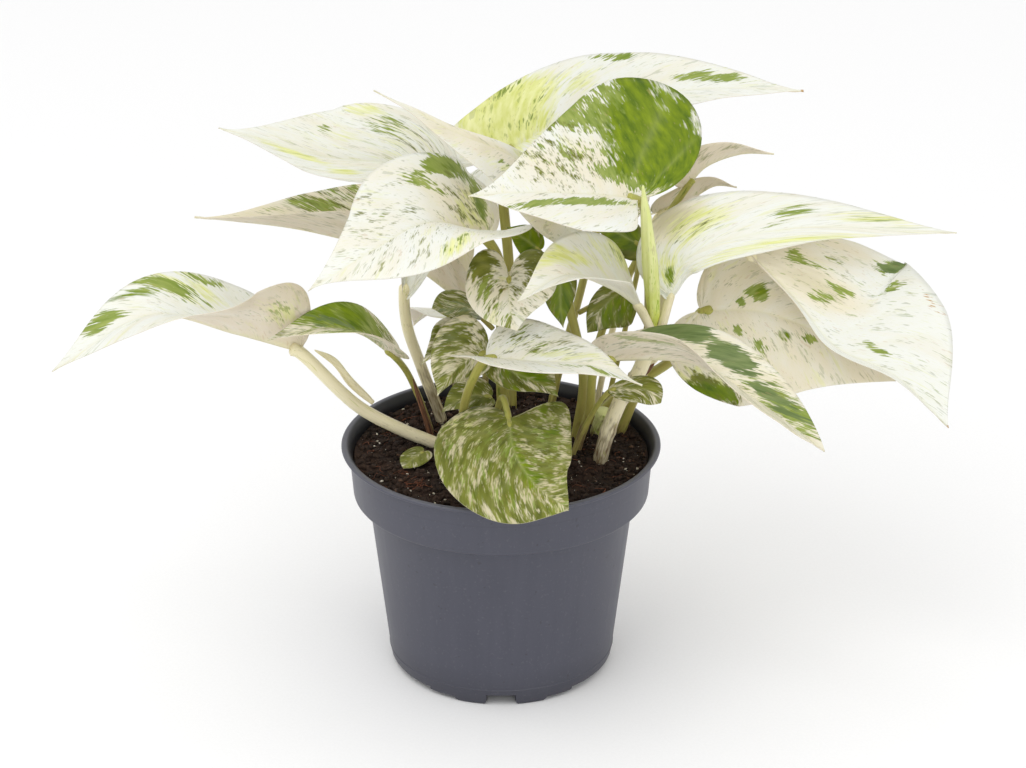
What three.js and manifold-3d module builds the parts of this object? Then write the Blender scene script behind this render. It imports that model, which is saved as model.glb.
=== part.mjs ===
// A white-variegated pothos in a round nursery pot.
// Millimetres, +Z up. The origin is on the pot's axis, on the surface that the pot stands on.
// The front of the plant looks towards -Y.
import * as THREE from 'three';
import { mergeVertices } from 'three/addons/utils/BufferGeometryUtils.js';
import Module from 'manifold-3d';

const wasm = await Module();
wasm.setup();

// ---------------------------------------------------------------- driving dimensions
const RIM_RADIUS = 60; // a common 12 cm nursery pot
const POT_HEIGHT = 90;
const GAP = 0.3; // clearance kept between neighbouring pieces
const DEG = Math.PI / 180;

const POT = {
  wall: 1.2,
  rimThickness: 1.4,
  bandTop: RIM_RADIUS - 3,
  bandBottom: RIM_RADIUS - 4.4,
  bandHeight: 20,
  bodyTop: 50,
  bodyBottom: 42.7,
  floorZ: 4.6, // underside of the floor
  floorThickness: 1.4,
  footRadius: 41.8,
  footWidth: 3.2,
  segments: 48,
};
// Three open gaps in the foot ring, each with a foot on either side. Further round, the ring is
// raised in steps: [angle from the gap, half angle, height].
const FOOT_RING = {
  repeats: 3,
  gapHalf: 7.6 * DEG,
  steps: [[32 * DEG, 8 * DEG, 1.3], [50 * DEG, 11 * DEG, 2.6]],
};
const DRAIN = { radius: 3.2, ring: 27, count: 6 };

const SOIL = { top: 86, crown: 2, clearance: GAP };

// What simplifying a fused solid may move its surface by.
const TOLERANCE = 0.02;

const BLADE = { thickness: 0.7, along: 10, across: 6 };

// ---------------------------------------------------------------- colours
const COLOUR = {
  pot: 0x4b4c56,
  soil: 0x2a1f1a,
  white: 0xf2f1e8,
  cream: 0xe6dcc8,
  lime: 0xc8d850,
  green: 0x6e9a3c,
  dark: 0x3f6b2a,
  petiole: 0xe0dba6,
  sheath: 0x5a3a28,
};

function finish(colour, roughness = 0.5) {
  return new THREE.MeshStandardMaterial({ color: colour, roughness, metalness: 0 });
}

// ---------------------------------------------------------------- solids
function onlyPositions(geometry) {
  const plain = geometry.clone();
  for (const name of Object.keys(plain.attributes)) {
    if (name !== 'position') plain.deleteAttribute(name);
  }
  return plain;
}

// Merges equal corners and drops the triangles that have collapsed to a line or a point.
function closedBody(geometry) {
  const merged = mergeVertices(onlyPositions(geometry), 1e-3);
  const index = merged.index.array;
  const kept = [];
  for (let i = 0; i < index.length; i += 3) {
    const [a, b, c] = [index[i], index[i + 1], index[i + 2]];
    if (a !== b && b !== c && c !== a) kept.push(a, b, c);
  }
  merged.setIndex(kept);
  return merged;
}

function toSolid(geometry) {
  const body = closedBody(geometry);
  return new wasm.Manifold(
    new wasm.Mesh({
      numProp: 3,
      vertProperties: new Float32Array(body.attributes.position.array),
      triVerts: new Uint32Array(body.index.array),
    }),
  );
}

// Two overlapping solids as one, with any pocket that is closed off between them filled.
function fused(first, second) {
  const joined = toSolid(first).add(toSolid(second)).simplify(TOLERANCE);
  const pieces = toSolid(fromSolid(joined)).decompose();
  return pieces.reduce((largest, piece) => (piece.volume() > largest.volume() ? piece : largest));
}

function fromSolid(solid) {
  const mesh = solid.getMesh();
  const geometry = new THREE.BufferGeometry();
  geometry.setAttribute('position', new THREE.BufferAttribute(mesh.vertProperties, 3));
  geometry.setIndex(new THREE.BufferAttribute(mesh.triVerts, 1));
  return geometry;
}

// A solid turned about the Z axis, from [radius, z] pairs that start and end on the axis.
function turned(profile, segments) {
  const points = profile.map(([r, z]) => new THREE.Vector2(r, z));
  const geometry = new THREE.LatheGeometry(points, segments);
  geometry.rotateX(Math.PI / 2);
  return geometry;
}

// A rod of even thickness along a smooth curve through the points.
function rod(points, radius, sides = 6, steps = 2 * points.length) {
  const curve = new THREE.CatmullRomCurve3(points.map((p) => new THREE.Vector3(...p)));
  const section = new THREE.Shape();
  for (let i = 0; i < sides; i += 1) {
    const angle = (2 * Math.PI * i) / sides;
    const corner = [radius * Math.cos(angle), radius * Math.sin(angle)];
    if (i === 0) section.moveTo(...corner);
    else section.lineTo(...corner);
  }
  section.closePath();
  const options = { steps, extrudePath: curve, bevelEnabled: false };
  return closedBody(new THREE.ExtrudeGeometry(section, options));
}

// ---------------------------------------------------------------- leaf blades
// A blade is laid out flat first: x runs along the midrib from the petiole (0) to the tip (1), and
// y out to the margin, as a share of the half width. Two Bezier curves give the heart's margin.
const MARGIN_JOINT = 0.45; // where the two curves meet, as a share of the way round the margin

function margin(tau, leaf, side) {
  const values = [leaf.widest ?? 0.27, leaf.lobe, leaf.point ?? 0.2];
  const [widest, lobe, point] = values.map((value) => value[side] ?? value);
  const rest = 1 - widest;
  const back = new THREE.CubicBezierCurve(
    new THREE.Vector2(0, 0),
    new THREE.Vector2(-1.5 * lobe, 0.12),
    new THREE.Vector2(widest - 0.27 - 0.9 * lobe, 1),
    new THREE.Vector2(widest, 1),
  );
  const front = new THREE.CubicBezierCurve(
    new THREE.Vector2(widest, 1),
    new THREE.Vector2(widest + 0.45 * rest, 1),
    new THREE.Vector2(widest + 0.72 * rest, point),
    new THREE.Vector2(1, 0),
  );
  return tau < MARGIN_JOINT
    ? back.getPoint(tau / MARGIN_JOINT)
    : front.getPoint((tau - MARGIN_JOINT) / (1 - MARGIN_JOINT));
}

// Where the side vein that ends at margin place tau leaves the midrib.
function veinRoot(tau) {
  const fan = 0.3;
  return tau < fan ? 0 : ((tau - fan) / (1 - fan)) ** 1.15;
}

function mix(a, b, t) {
  return a + (b - a) * t;
}

// The midrib's place, its direction towards the tip, and the direction the blade's upper face looks.
function midribFrame(leaf, t) {
  const centre = leaf.curve.getPoint(t);
  const forward = leaf.curve.getTangent(t);
  const face = new THREE.Vector3(...leaf.face[0]).lerp(new THREE.Vector3(...leaf.face[1]), t);
  const up = face.addScaledVector(forward, -face.dot(forward)).normalize();
  return { centre, forward, up };
}

// Bends the flat blade over its midrib curve. Each half leaves the midrib at its fold angle and
// curls on towards its margin.
function bladePoint(leaf, tau, across, height) {
  const side = across < 0 ? 1 : 0; // 0 is the left half, seen from above with the tip ahead
  const out = Math.abs(across);
  const edge = margin(tau, leaf, side);
  const along = mix(veinRoot(tau), edge.x, out);
  const away = edge.y * out * leaf.halfWidth[side];
  const t = Math.min(Math.max(along, 0), 1);
  const { centre, forward, up } = midribFrame(leaf, t);
  const outward = up.clone().cross(forward).multiplyScalar(side === 0 ? 1 : -1);
  if (along < 0) centre.addScaledVector(forward, along * leaf.curve.getLength());
  const [fold, otherFold] = [side, 1 - side].map((k) => mix(leaf.fold[0][k], leaf.fold[1][k], t) * DEG);
  const bend = (leaf.curl[side] * DEG) / leaf.halfWidth[side];
  const turn = fold + bend * away;
  const flat = Math.abs(bend) < 1e-6;
  const sideways = flat ? away * Math.cos(fold) : (Math.sin(turn) - Math.sin(fold)) / bend;
  const upwards = flat ? away * Math.sin(fold) : (Math.cos(fold) - Math.cos(turn)) / bend;
  // On the midrib the thickness is measured halfway between the directions of the two halves.
  const lean = away < 1e-6 ? (fold - otherFold) / 2 : turn;
  return centre
    .addScaledVector(outward, sideways - height * Math.sin(lean))
    .addScaledVector(up, upwards + height * Math.cos(lean));
}

// A thin closed sheet over a grid. The quads of its upper and lower faces are split along the same
// diagonals, so that the two faces never cross where the sheet twists.
function bladeGeometry(leaf) {
  const { along, across, thickness } = BLADE;
  const places = [];
  for (const height of [thickness / 2, -thickness / 2]) {
    for (let i = 0; i <= along; i += 1) {
      for (let j = 0; j <= across; j += 1) {
        places.push(...bladePoint(leaf, i / along, (2 * j) / across - 1, height));
      }
    }
  }
  const upper = (i, j) => i * (across + 1) + j;
  const lower = (i, j) => (along + 1) * (across + 1) + upper(i, j);
  const index = [];
  const quad = (a, b, c, d) => index.push(a, b, c, a, c, d);
  for (let i = 0; i < along; i += 1) {
    for (let j = 0; j < across; j += 1) {
      const cell = [[i, j], [i + 1, j], [i + 1, j + 1], [i, j + 1]];
      quad(...cell.map(([a, b]) => upper(a, b)));
      const [p, q, r, t] = cell.map(([a, b]) => lower(a, b));
      index.push(p, r, q, p, t, r);
    }
    quad(lower(i, 0), lower(i + 1, 0), upper(i + 1, 0), upper(i, 0));
    quad(upper(i, across), upper(i + 1, across), lower(i + 1, across), lower(i, across));
  }
  const geometry = new THREE.BufferGeometry();
  geometry.setAttribute('position', new THREE.BufferAttribute(new Float32Array(places), 3));
  geometry.setIndex(index);
  return closedBody(geometry);
}

// Where a petiole ends: inside the base of its blade if the two are one piece, else a clearance
// below it.
function petioleEnd(leaf) {
  const { radius, route, joined } = leaf.petiole;
  const { centre, up } = midribFrame(leaf, 0);
  const travel = centre.clone().sub(new THREE.Vector3(...route.at(-1))).normalize();
  const slant = Math.sqrt(Math.max(0, 1 - travel.dot(up) ** 2));
  const drop = joined ? 0 : BLADE.thickness / 2 + GAP + radius * slant;
  return centre.addScaledVector(up, -drop).toArray();
}

// Each leaf: its midrib from base to tip, half widths [left, right], the direction its upper face
// looks at the base and at the tip, and the fold angles [left, right] at the base and at the tip.
// Left and right are seen from above with the tip ahead. Curl is how far each half turns up on
// towards its margin, lobe is how far the heart's lobes reach back as a share of the length, widest
// is where the blade is widest, and point is how blunt it is near the tip. Where the two halves
// differ, these three are [left, right] too. A petiole has a radius and a route up to the blade,
// and joined says that it is one piece with the blade.
const LEAVES = [
  {
    name: 'leaf_far_left',
    colour: COLOUR.white,
    midrib: [[-74, -5, 130], [-97, -8, 138], [-127, -14, 147], [-163, -22, 128]],
    halfWidth: [28, 24],
    face: [[0, 0.2, 1], [0, -0.7, 0.8]],
    fold: [[85, 15], [5, 15]],
    curl: [0, 0],
    lobe: 0.03,
    point: [0, 0.35],
    petiole: { radius: 2.6, route: [[-10, 4, 70], [-17, 2, 84], [-27, 2, 89], [-37, 3, 93], [-53, 2, 103]] },
  },
  {
    name: 'leaf_left_green',
    colour: COLOUR.dark,
    midrib: [[-39, 2, 124], [-52, -4, 136], [-67, -10, 140], [-85, -16, 138]],
    halfWidth: [14, 13],
    face: [[0, 0, 1], [0, -0.3, 1]],
    fold: [[20, 25], [20, 25]],
    curl: [0, 0],
    lobe: 0.06,
    petiole: { radius: 1.3, route: [[-25, 14, 62], [-26, 14, 84], [-34, 12, 110]] },
  },
  {
    name: 'leaf_upper_left',
    colour: COLOUR.white,
    midrib: [[-36, 18, 140], [-33, 26, 186], [-66, 28, 193], [-103, 20, 207]],
    halfWidth: [11.5, 21.5],
    face: [[0, -0.9, 0.4], [0, -0.6, 0.8]],
    fold: [[35, 27], [18, 18]],
    curl: [0, 0],
    lobe: 0.02,
    widest: [0.6, 0.5],
    point: [0.14, 0.04],
    petiole: { radius: 2.3, route: [[-20, 24, 62], [-22, 24, 84], [-30, 22, 110], [-35, 19, 128]] },
  },
  {
    name: 'leaf_crossing',
    colour: COLOUR.white,
    midrib: [[22, 12, 183], [5, 8, 199.5], [-18, 4, 211.5], [-45, 0, 228]],
    halfWidth: [24.5, 4],
    face: [[0, -0.5, 0.9], [0, -0.5, 0.9]],
    fold: [[10, 15], [10, 10]],
    curl: [0, 0],
    lobe: 0.12,
    widest: [0.04, 0.15],
    point: [0, 0.36],
    petiole: { radius: 1.9, route: [[28, 8, 62], [28, 8, 84], [31, 8, 112], [24, 8, 150]] },
  },
  {
    name: 'leaf_front_left',
    colour: COLOUR.white,
    midrib: [[-5, -8, 175], [-25, -22, 186], [-44, -38, 182], [-67, -50, 171]],
    halfWidth: [34, 31],
    face: [[0, -0.5, 0.9], [0, -0.6, 0.8]],
    fold: [[60, 10], [-25, 5]],
    curl: [0, 0],
    lobe: [0, 0.1],
    widest: [0.2, 0.15],
    point: [0, 0.2],
    petiole: { radius: 1.8, route: [[0, 2.2, 153.6], [-1, -3, 165]] },
  },
  {
    name: 'leaf_left_back',
    colour: COLOUR.cream,
    midrib: [[-13, 32, 133], [-38, 40, 148], [-72, 40, 159], [-115, 34, 167]],
    halfWidth: [20, 30],
    face: [[0, 0.6, 0.8], [0, 0.4, 0.9]],
    fold: [[40, 74], [10, 70]],
    curl: [0, 0],
    lobe: [0.05, -0.05],
    widest: [0.4, 0.3],
    point: [0.2, 0],
    petiole: { radius: 1.8, route: [[-12, 34, 62], [-13, 34, 84], [-13, 33, 112]] },
  },
  {
    name: 'leaf_top_centre',
    colour: COLOUR.green,
    midrib: [[49, -14, 192], [32, -23, 197], [10, -32, 201], [-11, -38, 202]],
    halfWidth: [25, 50],
    face: [[0, -0.5, 0.85], [0, -0.5, 0.85]],
    fold: [[20, 15], [10, 10]],
    curl: [0, 0],
    lobe: [-0.1, 0.36],
    point: 0.1,
    widest: [0.3, -0.18],
    petiole: {
      radius: 2,
      route: [[41, 16, 64], [45, 17, 84], [54, 13, 115], [55, 12, 150], [53, 6, 178]],
    },
  },
  {
    name: 'leaf_top_back',
    colour: COLOUR.lime,
    midrib: [[1, 48, 187], [34, 58, 202], [75, 58, 209], [113, 48, 212]],
    halfWidth: [24, 18],
    face: [[0, -0.6, 0.8], [0, -0.2, 1]],
    fold: [[10, 10], [5, 5]],
    curl: [0, 0],
    lobe: 0.26,
    petiole: { radius: 2, route: [[4, 36, 62], [4, 38, 84], [3, 46, 140]] },
  },
  {
    name: 'leaf_right_back',
    colour: COLOUR.cream,
    midrib: [[69, 32, 180], [76, 34, 187], [89, 34, 192], [101, 28, 194]],
    halfWidth: [10, 12],
    face: [[0, 0.5, 0.85], [0, 0.3, 0.9]],
    fold: [[10, 30], [10, 30]],
    curl: [0, 0],
    lobe: 0.1,
    petiole: { radius: 1.4, route: [[29, 34, 64], [31, 36, 84], [42, 34, 130]] },
  },
  {
    name: 'leaf_right_back_lower',
    colour: COLOUR.cream,
    midrib: [[60, 42, 166], [72, 46, 170], [81, 46, 175], [89, 44, 175]],
    halfWidth: [10, 10],
    face: [[0, 0.5, 0.85], [0, 0.3, 0.9]],
    fold: [[10, 30], [10, 30]],
    curl: [0, 0],
    lobe: 0.15,
    petiole: { radius: 1.2, route: [[32, 32, 64], [36, 35, 84], [46, 42, 130]], joined: true },
  },
  {
    name: 'leaf_right_inner',
    colour: COLOUR.cream,
    midrib: [[61, 18, 164], [68, 24, 167], [76, 30, 170], [86, 32, 172]],
    halfWidth: [12, 14],
    face: [[0, 0.8, 0.5], [0, 0.8, 0.5]],
    fold: [[10, 10], [10, 10]],
    curl: [0, 0],
    lobe: 0.15,
    petiole: { radius: 1.4, route: [[40, 22, 64], [46, 23, 84], [56, 24, 130]], joined: true },
  },
  {
    name: 'leaf_right_long',
    colour: COLOUR.white,
    midrib: [[62, -5, 150], [67, -3, 164], [102, 2, 174], [165, -6, 176]],
    halfWidth: [20, 8],
    face: [[0.2, -0.7, 0.7], [0, -0.4, 0.9]],
    fold: [[0, -20], [10, 0]],
    curl: [0, 0],
    lobe: 0.04,
    widest: [0.48, 0.6],
    petiole: { radius: 1.6, route: [[59, -8, 139.6]], joined: true },
  },
  {
    name: 'leaf_centre_curled',
    colour: COLOUR.white,
    midrib: [[51, -13, 150], [40, -24, 162], [23, -40, 173], [6, -54, 169]],
    halfWidth: [10, 23],
    face: [[0, 0.2, 1], [0, -0.7, 0.8]],
    fold: [[20, 45], [20, 10]],
    curl: [20, 20],
    lobe: [-0.2, 0],
    widest: [0.4, 0.2],
    petiole: { radius: 1.6, route: [[54.8, -9.6, 139.6]], joined: true },
  },
  {
    name: 'leaf_heart_marbled',
    colour: COLOUR.green,
    midrib: [[3, -18, 163], [3, -26, 159], [4, -31, 154], [6, -34, 149]],
    halfWidth: [18, 16],
    face: [[0, -0.8, 0.6], [0, -1, 0.2]],
    fold: [[20, 20], [10, 10]],
    curl: [0, 0],
    lobe: 0.6,
    petiole: { radius: 1.3, route: [[2.2, -1.4, 152.7], [4, -7, 160]], joined: true },
  },
  {
    name: 'leaf_centre_white',
    colour: COLOUR.white,
    midrib: [[-5, -32, 138], [11, -40, 140], [32, -48, 142], [50, -56, 138]],
    halfWidth: [18.5, 15.5],
    face: [[0, -0.2, 1], [0, -0.2, 1]],
    fold: [[29, 31], [-10, 5]],
    curl: [0, 0],
    lobe: [0.02, 0.22],
    widest: [0.23, 0.27],
    point: [0, 0.2],
    petiole: { radius: 1.6, route: [[-14, -8, 62], [-14, -8, 88], [-14, -11, 106], [-10, -24, 126]] },
  },
  {
    name: 'leaf_over_rim',
    colour: COLOUR.green,
    midrib: [[3, -24, 110], [5, -46, 107], [13, -66, 103], [24, -76, 99]],
    halfWidth: [22.5, 29],
    face: [[0, -0.2, 1], [0, -0.6, 0.8]],
    fold: [[16, 0], [0, 0]],
    curl: [0, 0],
    lobe: [-0.03, 0.25],
    widest: [0.1, 0.4],
    point: [0.6, 0.5],
    petiole: { radius: 1.2, route: [[-3, -3, 62], [-3, -3, 84], [-1, -9, 108], [1, -17, 115]], joined: true },
  },
  {
    name: 'leaf_right_folded',
    colour: COLOUR.dark,
    midrib: [[37, -18, 132], [69, -34, 137], [89, -48, 130], [115, -58, 113]],
    halfWidth: [15, 22],
    face: [[0, 0, 1], [0.3, -0.4, 0.9]],
    fold: [[45, 60], [30, 20]],
    curl: [0, 0],
    lobe: 0.08,
    point: [0.8, 0.4],
    widest: 0.4,
    petiole: { radius: 1.7, route: [[28, 0, 62], [28, -1, 84], [33, -3, 104], [34, -9, 122]] },
  },
  {
    name: 'leaf_right_cream',
    colour: COLOUR.cream,
    midrib: [[75, 14, 137], [97, 10, 138], [120, 4, 131], [146, -6, 117]],
    halfWidth: [30, 38],
    face: [[0, -0.8, 0.6], [0, -0.8, 0.6]],
    fold: [[5, 5], [5, 5]],
    curl: [0, 0],
    lobe: [0.05, 0.2],
    point: 0.35,
    widest: 0.3,
    petiole: { radius: 2, route: [[33, 23, 64], [34, 23, 84], [45, 20.5, 100], [66, 15.5, 118]] },
  },
  {
    name: 'leaf_right_white',
    colour: COLOUR.white,
    midrib: [[90, 2, 166], [107, -7, 151], [122, -15, 135], [143, -26, 128], [162, -36, 112]],
    halfWidth: [44, 4],
    face: [[0.1, -0.6, 0.8], [-0.3, -0.6, 0.8]],
    fold: [[0, 30], [0, 30]],
    curl: [0, 0],
    lobe: 0.05,
    widest: 0.55,
    petiole: { radius: 1.8, route: [[55.5, -3.6, 130], [60, 2, 146], [68, 7, 160], [80, 7, 168]], joined: true },
  },
  // Small inner leaves round the stems.
  {
    name: 'leaf_inner_left',
    colour: COLOUR.dark,
    midrib: [[-8, 2, 141], [-13, -2, 145], [-19, -6, 146], [-25, -10, 148]],
    halfWidth: [8, 8],
    face: [[0, -0.5, 0.9], [0, -0.5, 0.9]],
    fold: [[10, 10], [10, 10]],
    curl: [0, 0],
    lobe: 0.1,
    widest: 0.5,
    point: 0.7,
    petiole: { radius: 1, route: [[-3, 4, 134]], joined: true },
  },
  {
    name: 'leaf_inner_left_tip',
    colour: COLOUR.green,
    midrib: [[-11, -6, 135], [-17, -10, 136], [-22, -14, 134], [-29, -18, 129]],
    halfWidth: [6, 9],
    face: [[0, -0.5, 0.9], [0, -0.5, 0.9]],
    fold: [[15, 15], [10, 10]],
    curl: [0, 0],
    lobe: 0.15,
    petiole: { radius: 1, route: [[-2.2, 4.2, 124]], joined: true },
  },
  {
    name: 'leaf_inner_folded',
    colour: COLOUR.green,
    midrib: [[-6, -14, 132], [-12, -18, 131], [-18, -22, 127], [-23, -24, 119]],
    halfWidth: [8, 16],
    face: [[0, -0.3, 0.9], [0, -0.5, 0.9]],
    fold: [[-60, 60], [-60, 20]],
    curl: [0, 0],
    lobe: 0.15,
    petiole: { radius: 1.1, route: [[-2.6, 5.8, 118], [-4, -7, 128]], joined: true },
  },
  {
    name: 'leaf_inner_low',
    colour: COLOUR.dark,
    midrib: [[-2, -8, 126], [5, -14, 124], [14, -19, 122], [21, -24, 119]],
    halfWidth: [14, 8],
    face: [[0, -0.5, 0.9], [0, -0.5, 0.9]],
    fold: [[15, 0], [10, 0]],
    curl: [0, 0],
    lobe: 0.15,
    petiole: { radius: 1.1, route: [[1.5, 5.6, 112]], joined: true },
  },
  {
    name: 'leaf_inner_strip',
    colour: COLOUR.dark,
    midrib: [[22, 4, 158], [22, 1, 152], [22, -1, 144], [23, -3, 137]],
    halfWidth: [6, 7],
    face: [[0, -1, 0], [0, -1, 0]],
    fold: [[0, 0], [0, 0]],
    curl: [0, 0],
    lobe: 0.1,
    petiole: { radius: 1, route: [[25.9, 5.3, 150]], joined: true },
  },
  {
    name: 'leaf_inner_right',
    colour: COLOUR.green,
    midrib: [[47, 10, 148], [41, 6, 145], [36, 4, 140], [32, 2, 133]],
    halfWidth: [12, 6],
    face: [[0, -1, 0.2], [0, -1, 0.2]],
    fold: [[0, 0], [0, 0]],
    curl: [0, 0],
    lobe: 0.1,
    widest: 0.35,
    point: 0.5,
    petiole: { radius: 1, route: [[28.8, 9.2, 138]], joined: true },
  },
  {
    name: 'leaf_inner_soil',
    colour: COLOUR.dark,
    midrib: [[-4, 2, 107], [-11, -1, 109], [-17, -3, 107], [-22, -5, 104]],
    halfWidth: [6, 8],
    face: [[0, -0.5, 0.9], [0, -0.5, 0.9]],
    fold: [[10, 10], [10, 10]],
    curl: [0, 0],
    lobe: 0.1,
    petiole: { radius: 1, route: [[-9, 8, 62], [-9, 8, 84], [-7, 5, 100]], joined: true },
  },
  {
    name: 'leaf_inner_top',
    colour: COLOUR.dark,
    midrib: [[52, 24, 159], [45, 22, 164], [39, 20, 168], [32, 18, 170]],
    halfWidth: [9, 9],
    face: [[0, -0.6, 0.9], [0, -0.6, 0.9]],
    fold: [[0, 0], [0, 0]],
    curl: [0, 0],
    lobe: 0.1,
    petiole: { radius: 1, route: [[37, 25, 64], [39, 26, 84], [48, 26, 130]], joined: true },
  },
  {
    name: 'leaf_inner_tip',
    colour: COLOUR.dark,
    midrib: [[14, 10, 163], [10, 8, 167], [6, 5, 171], [2, 2, 175]],
    halfWidth: [6, 6],
    face: [[0, -0.8, 0.6], [0, -0.8, 0.6]],
    fold: [[0, 0], [0, 0]],
    curl: [0, 0],
    lobe: 0.1,
    petiole: { radius: 0.9, route: [[21, 9.5, 152]], joined: true },
  },
  {
    name: 'leaf_right_small',
    colour: COLOUR.dark,
    midrib: [[40, -22, 121], [46, -26, 123], [53, -30, 124], [58, -32, 120]],
    halfWidth: [6, 6],
    face: [[0, -0.6, 0.9], [0, -0.6, 0.9]],
    fold: [[0, 0], [0, 0]],
    curl: [0, 0],
    lobe: 0.1,
    widest: 0.55,
    point: 0.9,
    petiole: { radius: 1, route: [[25, -6, 64], [26, -7, 84], [33, -10, 104]], joined: true },
  },
  {
    name: 'leaf_seedling',
    colour: COLOUR.green,
    midrib: [[-29, -10, 90], [-32, -14, 89.5], [-34, -17, 89], [-36, -20, 88]],
    halfWidth: [5, 5],
    face: [[0, -0.3, 0.9], [0, -0.3, 0.9]],
    fold: [[0, 0], [0, 0]],
    curl: [0, 0],
    lobe: 0.2,
    point: 0.8,
    petiole: { radius: 0.8, route: [[-24, -3, 74], [-26, -6, 86]], joined: true },
  },
  // Leaves on the far side.
  {
    name: 'leaf_back_left',
    colour: COLOUR.white,
    midrib: [[-18, 46, 122], [-24, 54, 121], [-30, 63, 116], [-35, 73, 106]],
    halfWidth: [13, 13],
    face: [[0, 0, 1], [0, 0.3, 1]],
    fold: [[10, 10], [10, 10]],
    curl: [0, 0],
    lobe: 0.15,
    petiole: { radius: 1.4, route: [[-16, 36, 62], [-17, 37, 84], [-18, 40, 108]], joined: true },
  },
  {
    name: 'leaf_back_centre',
    colour: COLOUR.green,
    midrib: [[37, 50, 158], [42, 58, 163], [46, 66, 165], [50, 75, 163]],
    halfWidth: [17, 17],
    face: [[0, 0, 1], [0, 0.3, 1]],
    fold: [[10, 10], [10, 10]],
    curl: [0, 0],
    lobe: 0.15,
    petiole: { radius: 1.5, route: [[18, 38, 62], [19, 39, 84], [30, 45, 130]], joined: true },
  },
  {
    name: 'leaf_back_right',
    colour: COLOUR.white,
    midrib: [[87, 38, 134], [97, 49, 131], [107, 61, 125], [116, 74, 116]],
    halfWidth: [18, 18],
    face: [[0, 0, 1], [0.2, 0.2, 1]],
    fold: [[10, 10], [10, 10]],
    curl: [0, 0],
    lobe: 0.15,
    petiole: { radius: 1.5, route: [[34, 29, 66], [41, 30.5, 86], [65, 33, 116]], joined: true },
  },
  {
    name: 'leaf_back_low',
    colour: COLOUR.green,
    midrib: [[-6, 48, 99], [-6, 56, 102], [-6, 66, 99], [-6, 76, 89]],
    halfWidth: [18, 18],
    face: [[0, 0, 1], [0, 0.6, 0.8]],
    fold: [[0, 0], [0, 0]],
    curl: [0, 0],
    lobe: 0.1,
    petiole: { radius: 1.3, route: [[-7, 38, 62], [-7, 39, 84]], joined: true },
  },
];

function prepared(leaf) {
  const curve = new THREE.CatmullRomCurve3(leaf.midrib.map((p) => new THREE.Vector3(...p)));
  return { ...leaf, curve };
}

// The newest leaf is still rolled up: a slim spindle above the end of the main vine.
const ROLLED = { foot: [56.4, -5.4, 139.3], head: [50.5, -20, 199], radius: 3.1 };

function rolledLeafGeometry() {
  const foot = new THREE.Vector3(...ROLLED.foot);
  const axis = new THREE.Vector3(...ROLLED.head).sub(foot);
  const height = axis.length();
  const r = ROLLED.radius;
  const profile = [
    [0, 0],
    [0.5 * r, 0],
    [0.9 * r, 0.25 * height],
    [r, 0.55 * height],
    [0.4 * r, 0.9 * height],
    [0, height],
  ];
  const geometry = turned(profile, 10);
  geometry.applyQuaternion(
    new THREE.Quaternion().setFromUnitVectors(new THREE.Vector3(0, 0, 1), axis.normalize()),
  );
  geometry.translate(...ROLLED.foot);
  return closedBody(geometry);
}

// ---------------------------------------------------------------- stems and sheaths
const STEMS = [
  {
    name: 'vine_main',
    colour: COLOUR.petiole,
    radius: 2.8,
    route: [[36, -6, 56], [37, -9, 86], [44, -9, 110], [51, -8, 122], [56, -8, 138]],
  },
  {
    name: 'vine_centre',
    colour: COLOUR.petiole,
    radius: 2.1,
    route: [[1, 15, 56], [1, 14, 84], [0, 8, 120], [1, 0, 152]],
  },
  {
    name: 'vine_stub',
    colour: COLOUR.lime,
    radius: 2.8,
    route: [[36, 14, 64], [36, 13, 84], [39, 9, 98]],
  },
  {
    name: 'sheath_far_left',
    colour: COLOUR.petiole,
    radius: 1.3,
    route: [[-48, 5, 103.2], [-56, 4, 112], [-62, 3, 121], [-69, 0, 127]],
  },
  {
    name: 'sheath_left_brown',
    colour: COLOUR.sheath,
    radius: 0.8,
    route: [[-24, 9, 78], [-29, 10, 96], [-33, 7.5, 112]],
  },
  {
    name: 'sheath_right_brown',
    colour: COLOUR.sheath,
    radius: 0.9,
    route: [[50, 10.6, 108], [53, 10.2, 112], [57.5, 10.5, 117]],
  },
];

// ---------------------------------------------------------------- pot
const SHOULDER = POT_HEIGHT - POT.bandHeight;
const FLOOR_TOP = POT.floorZ + POT.floorThickness;

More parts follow.
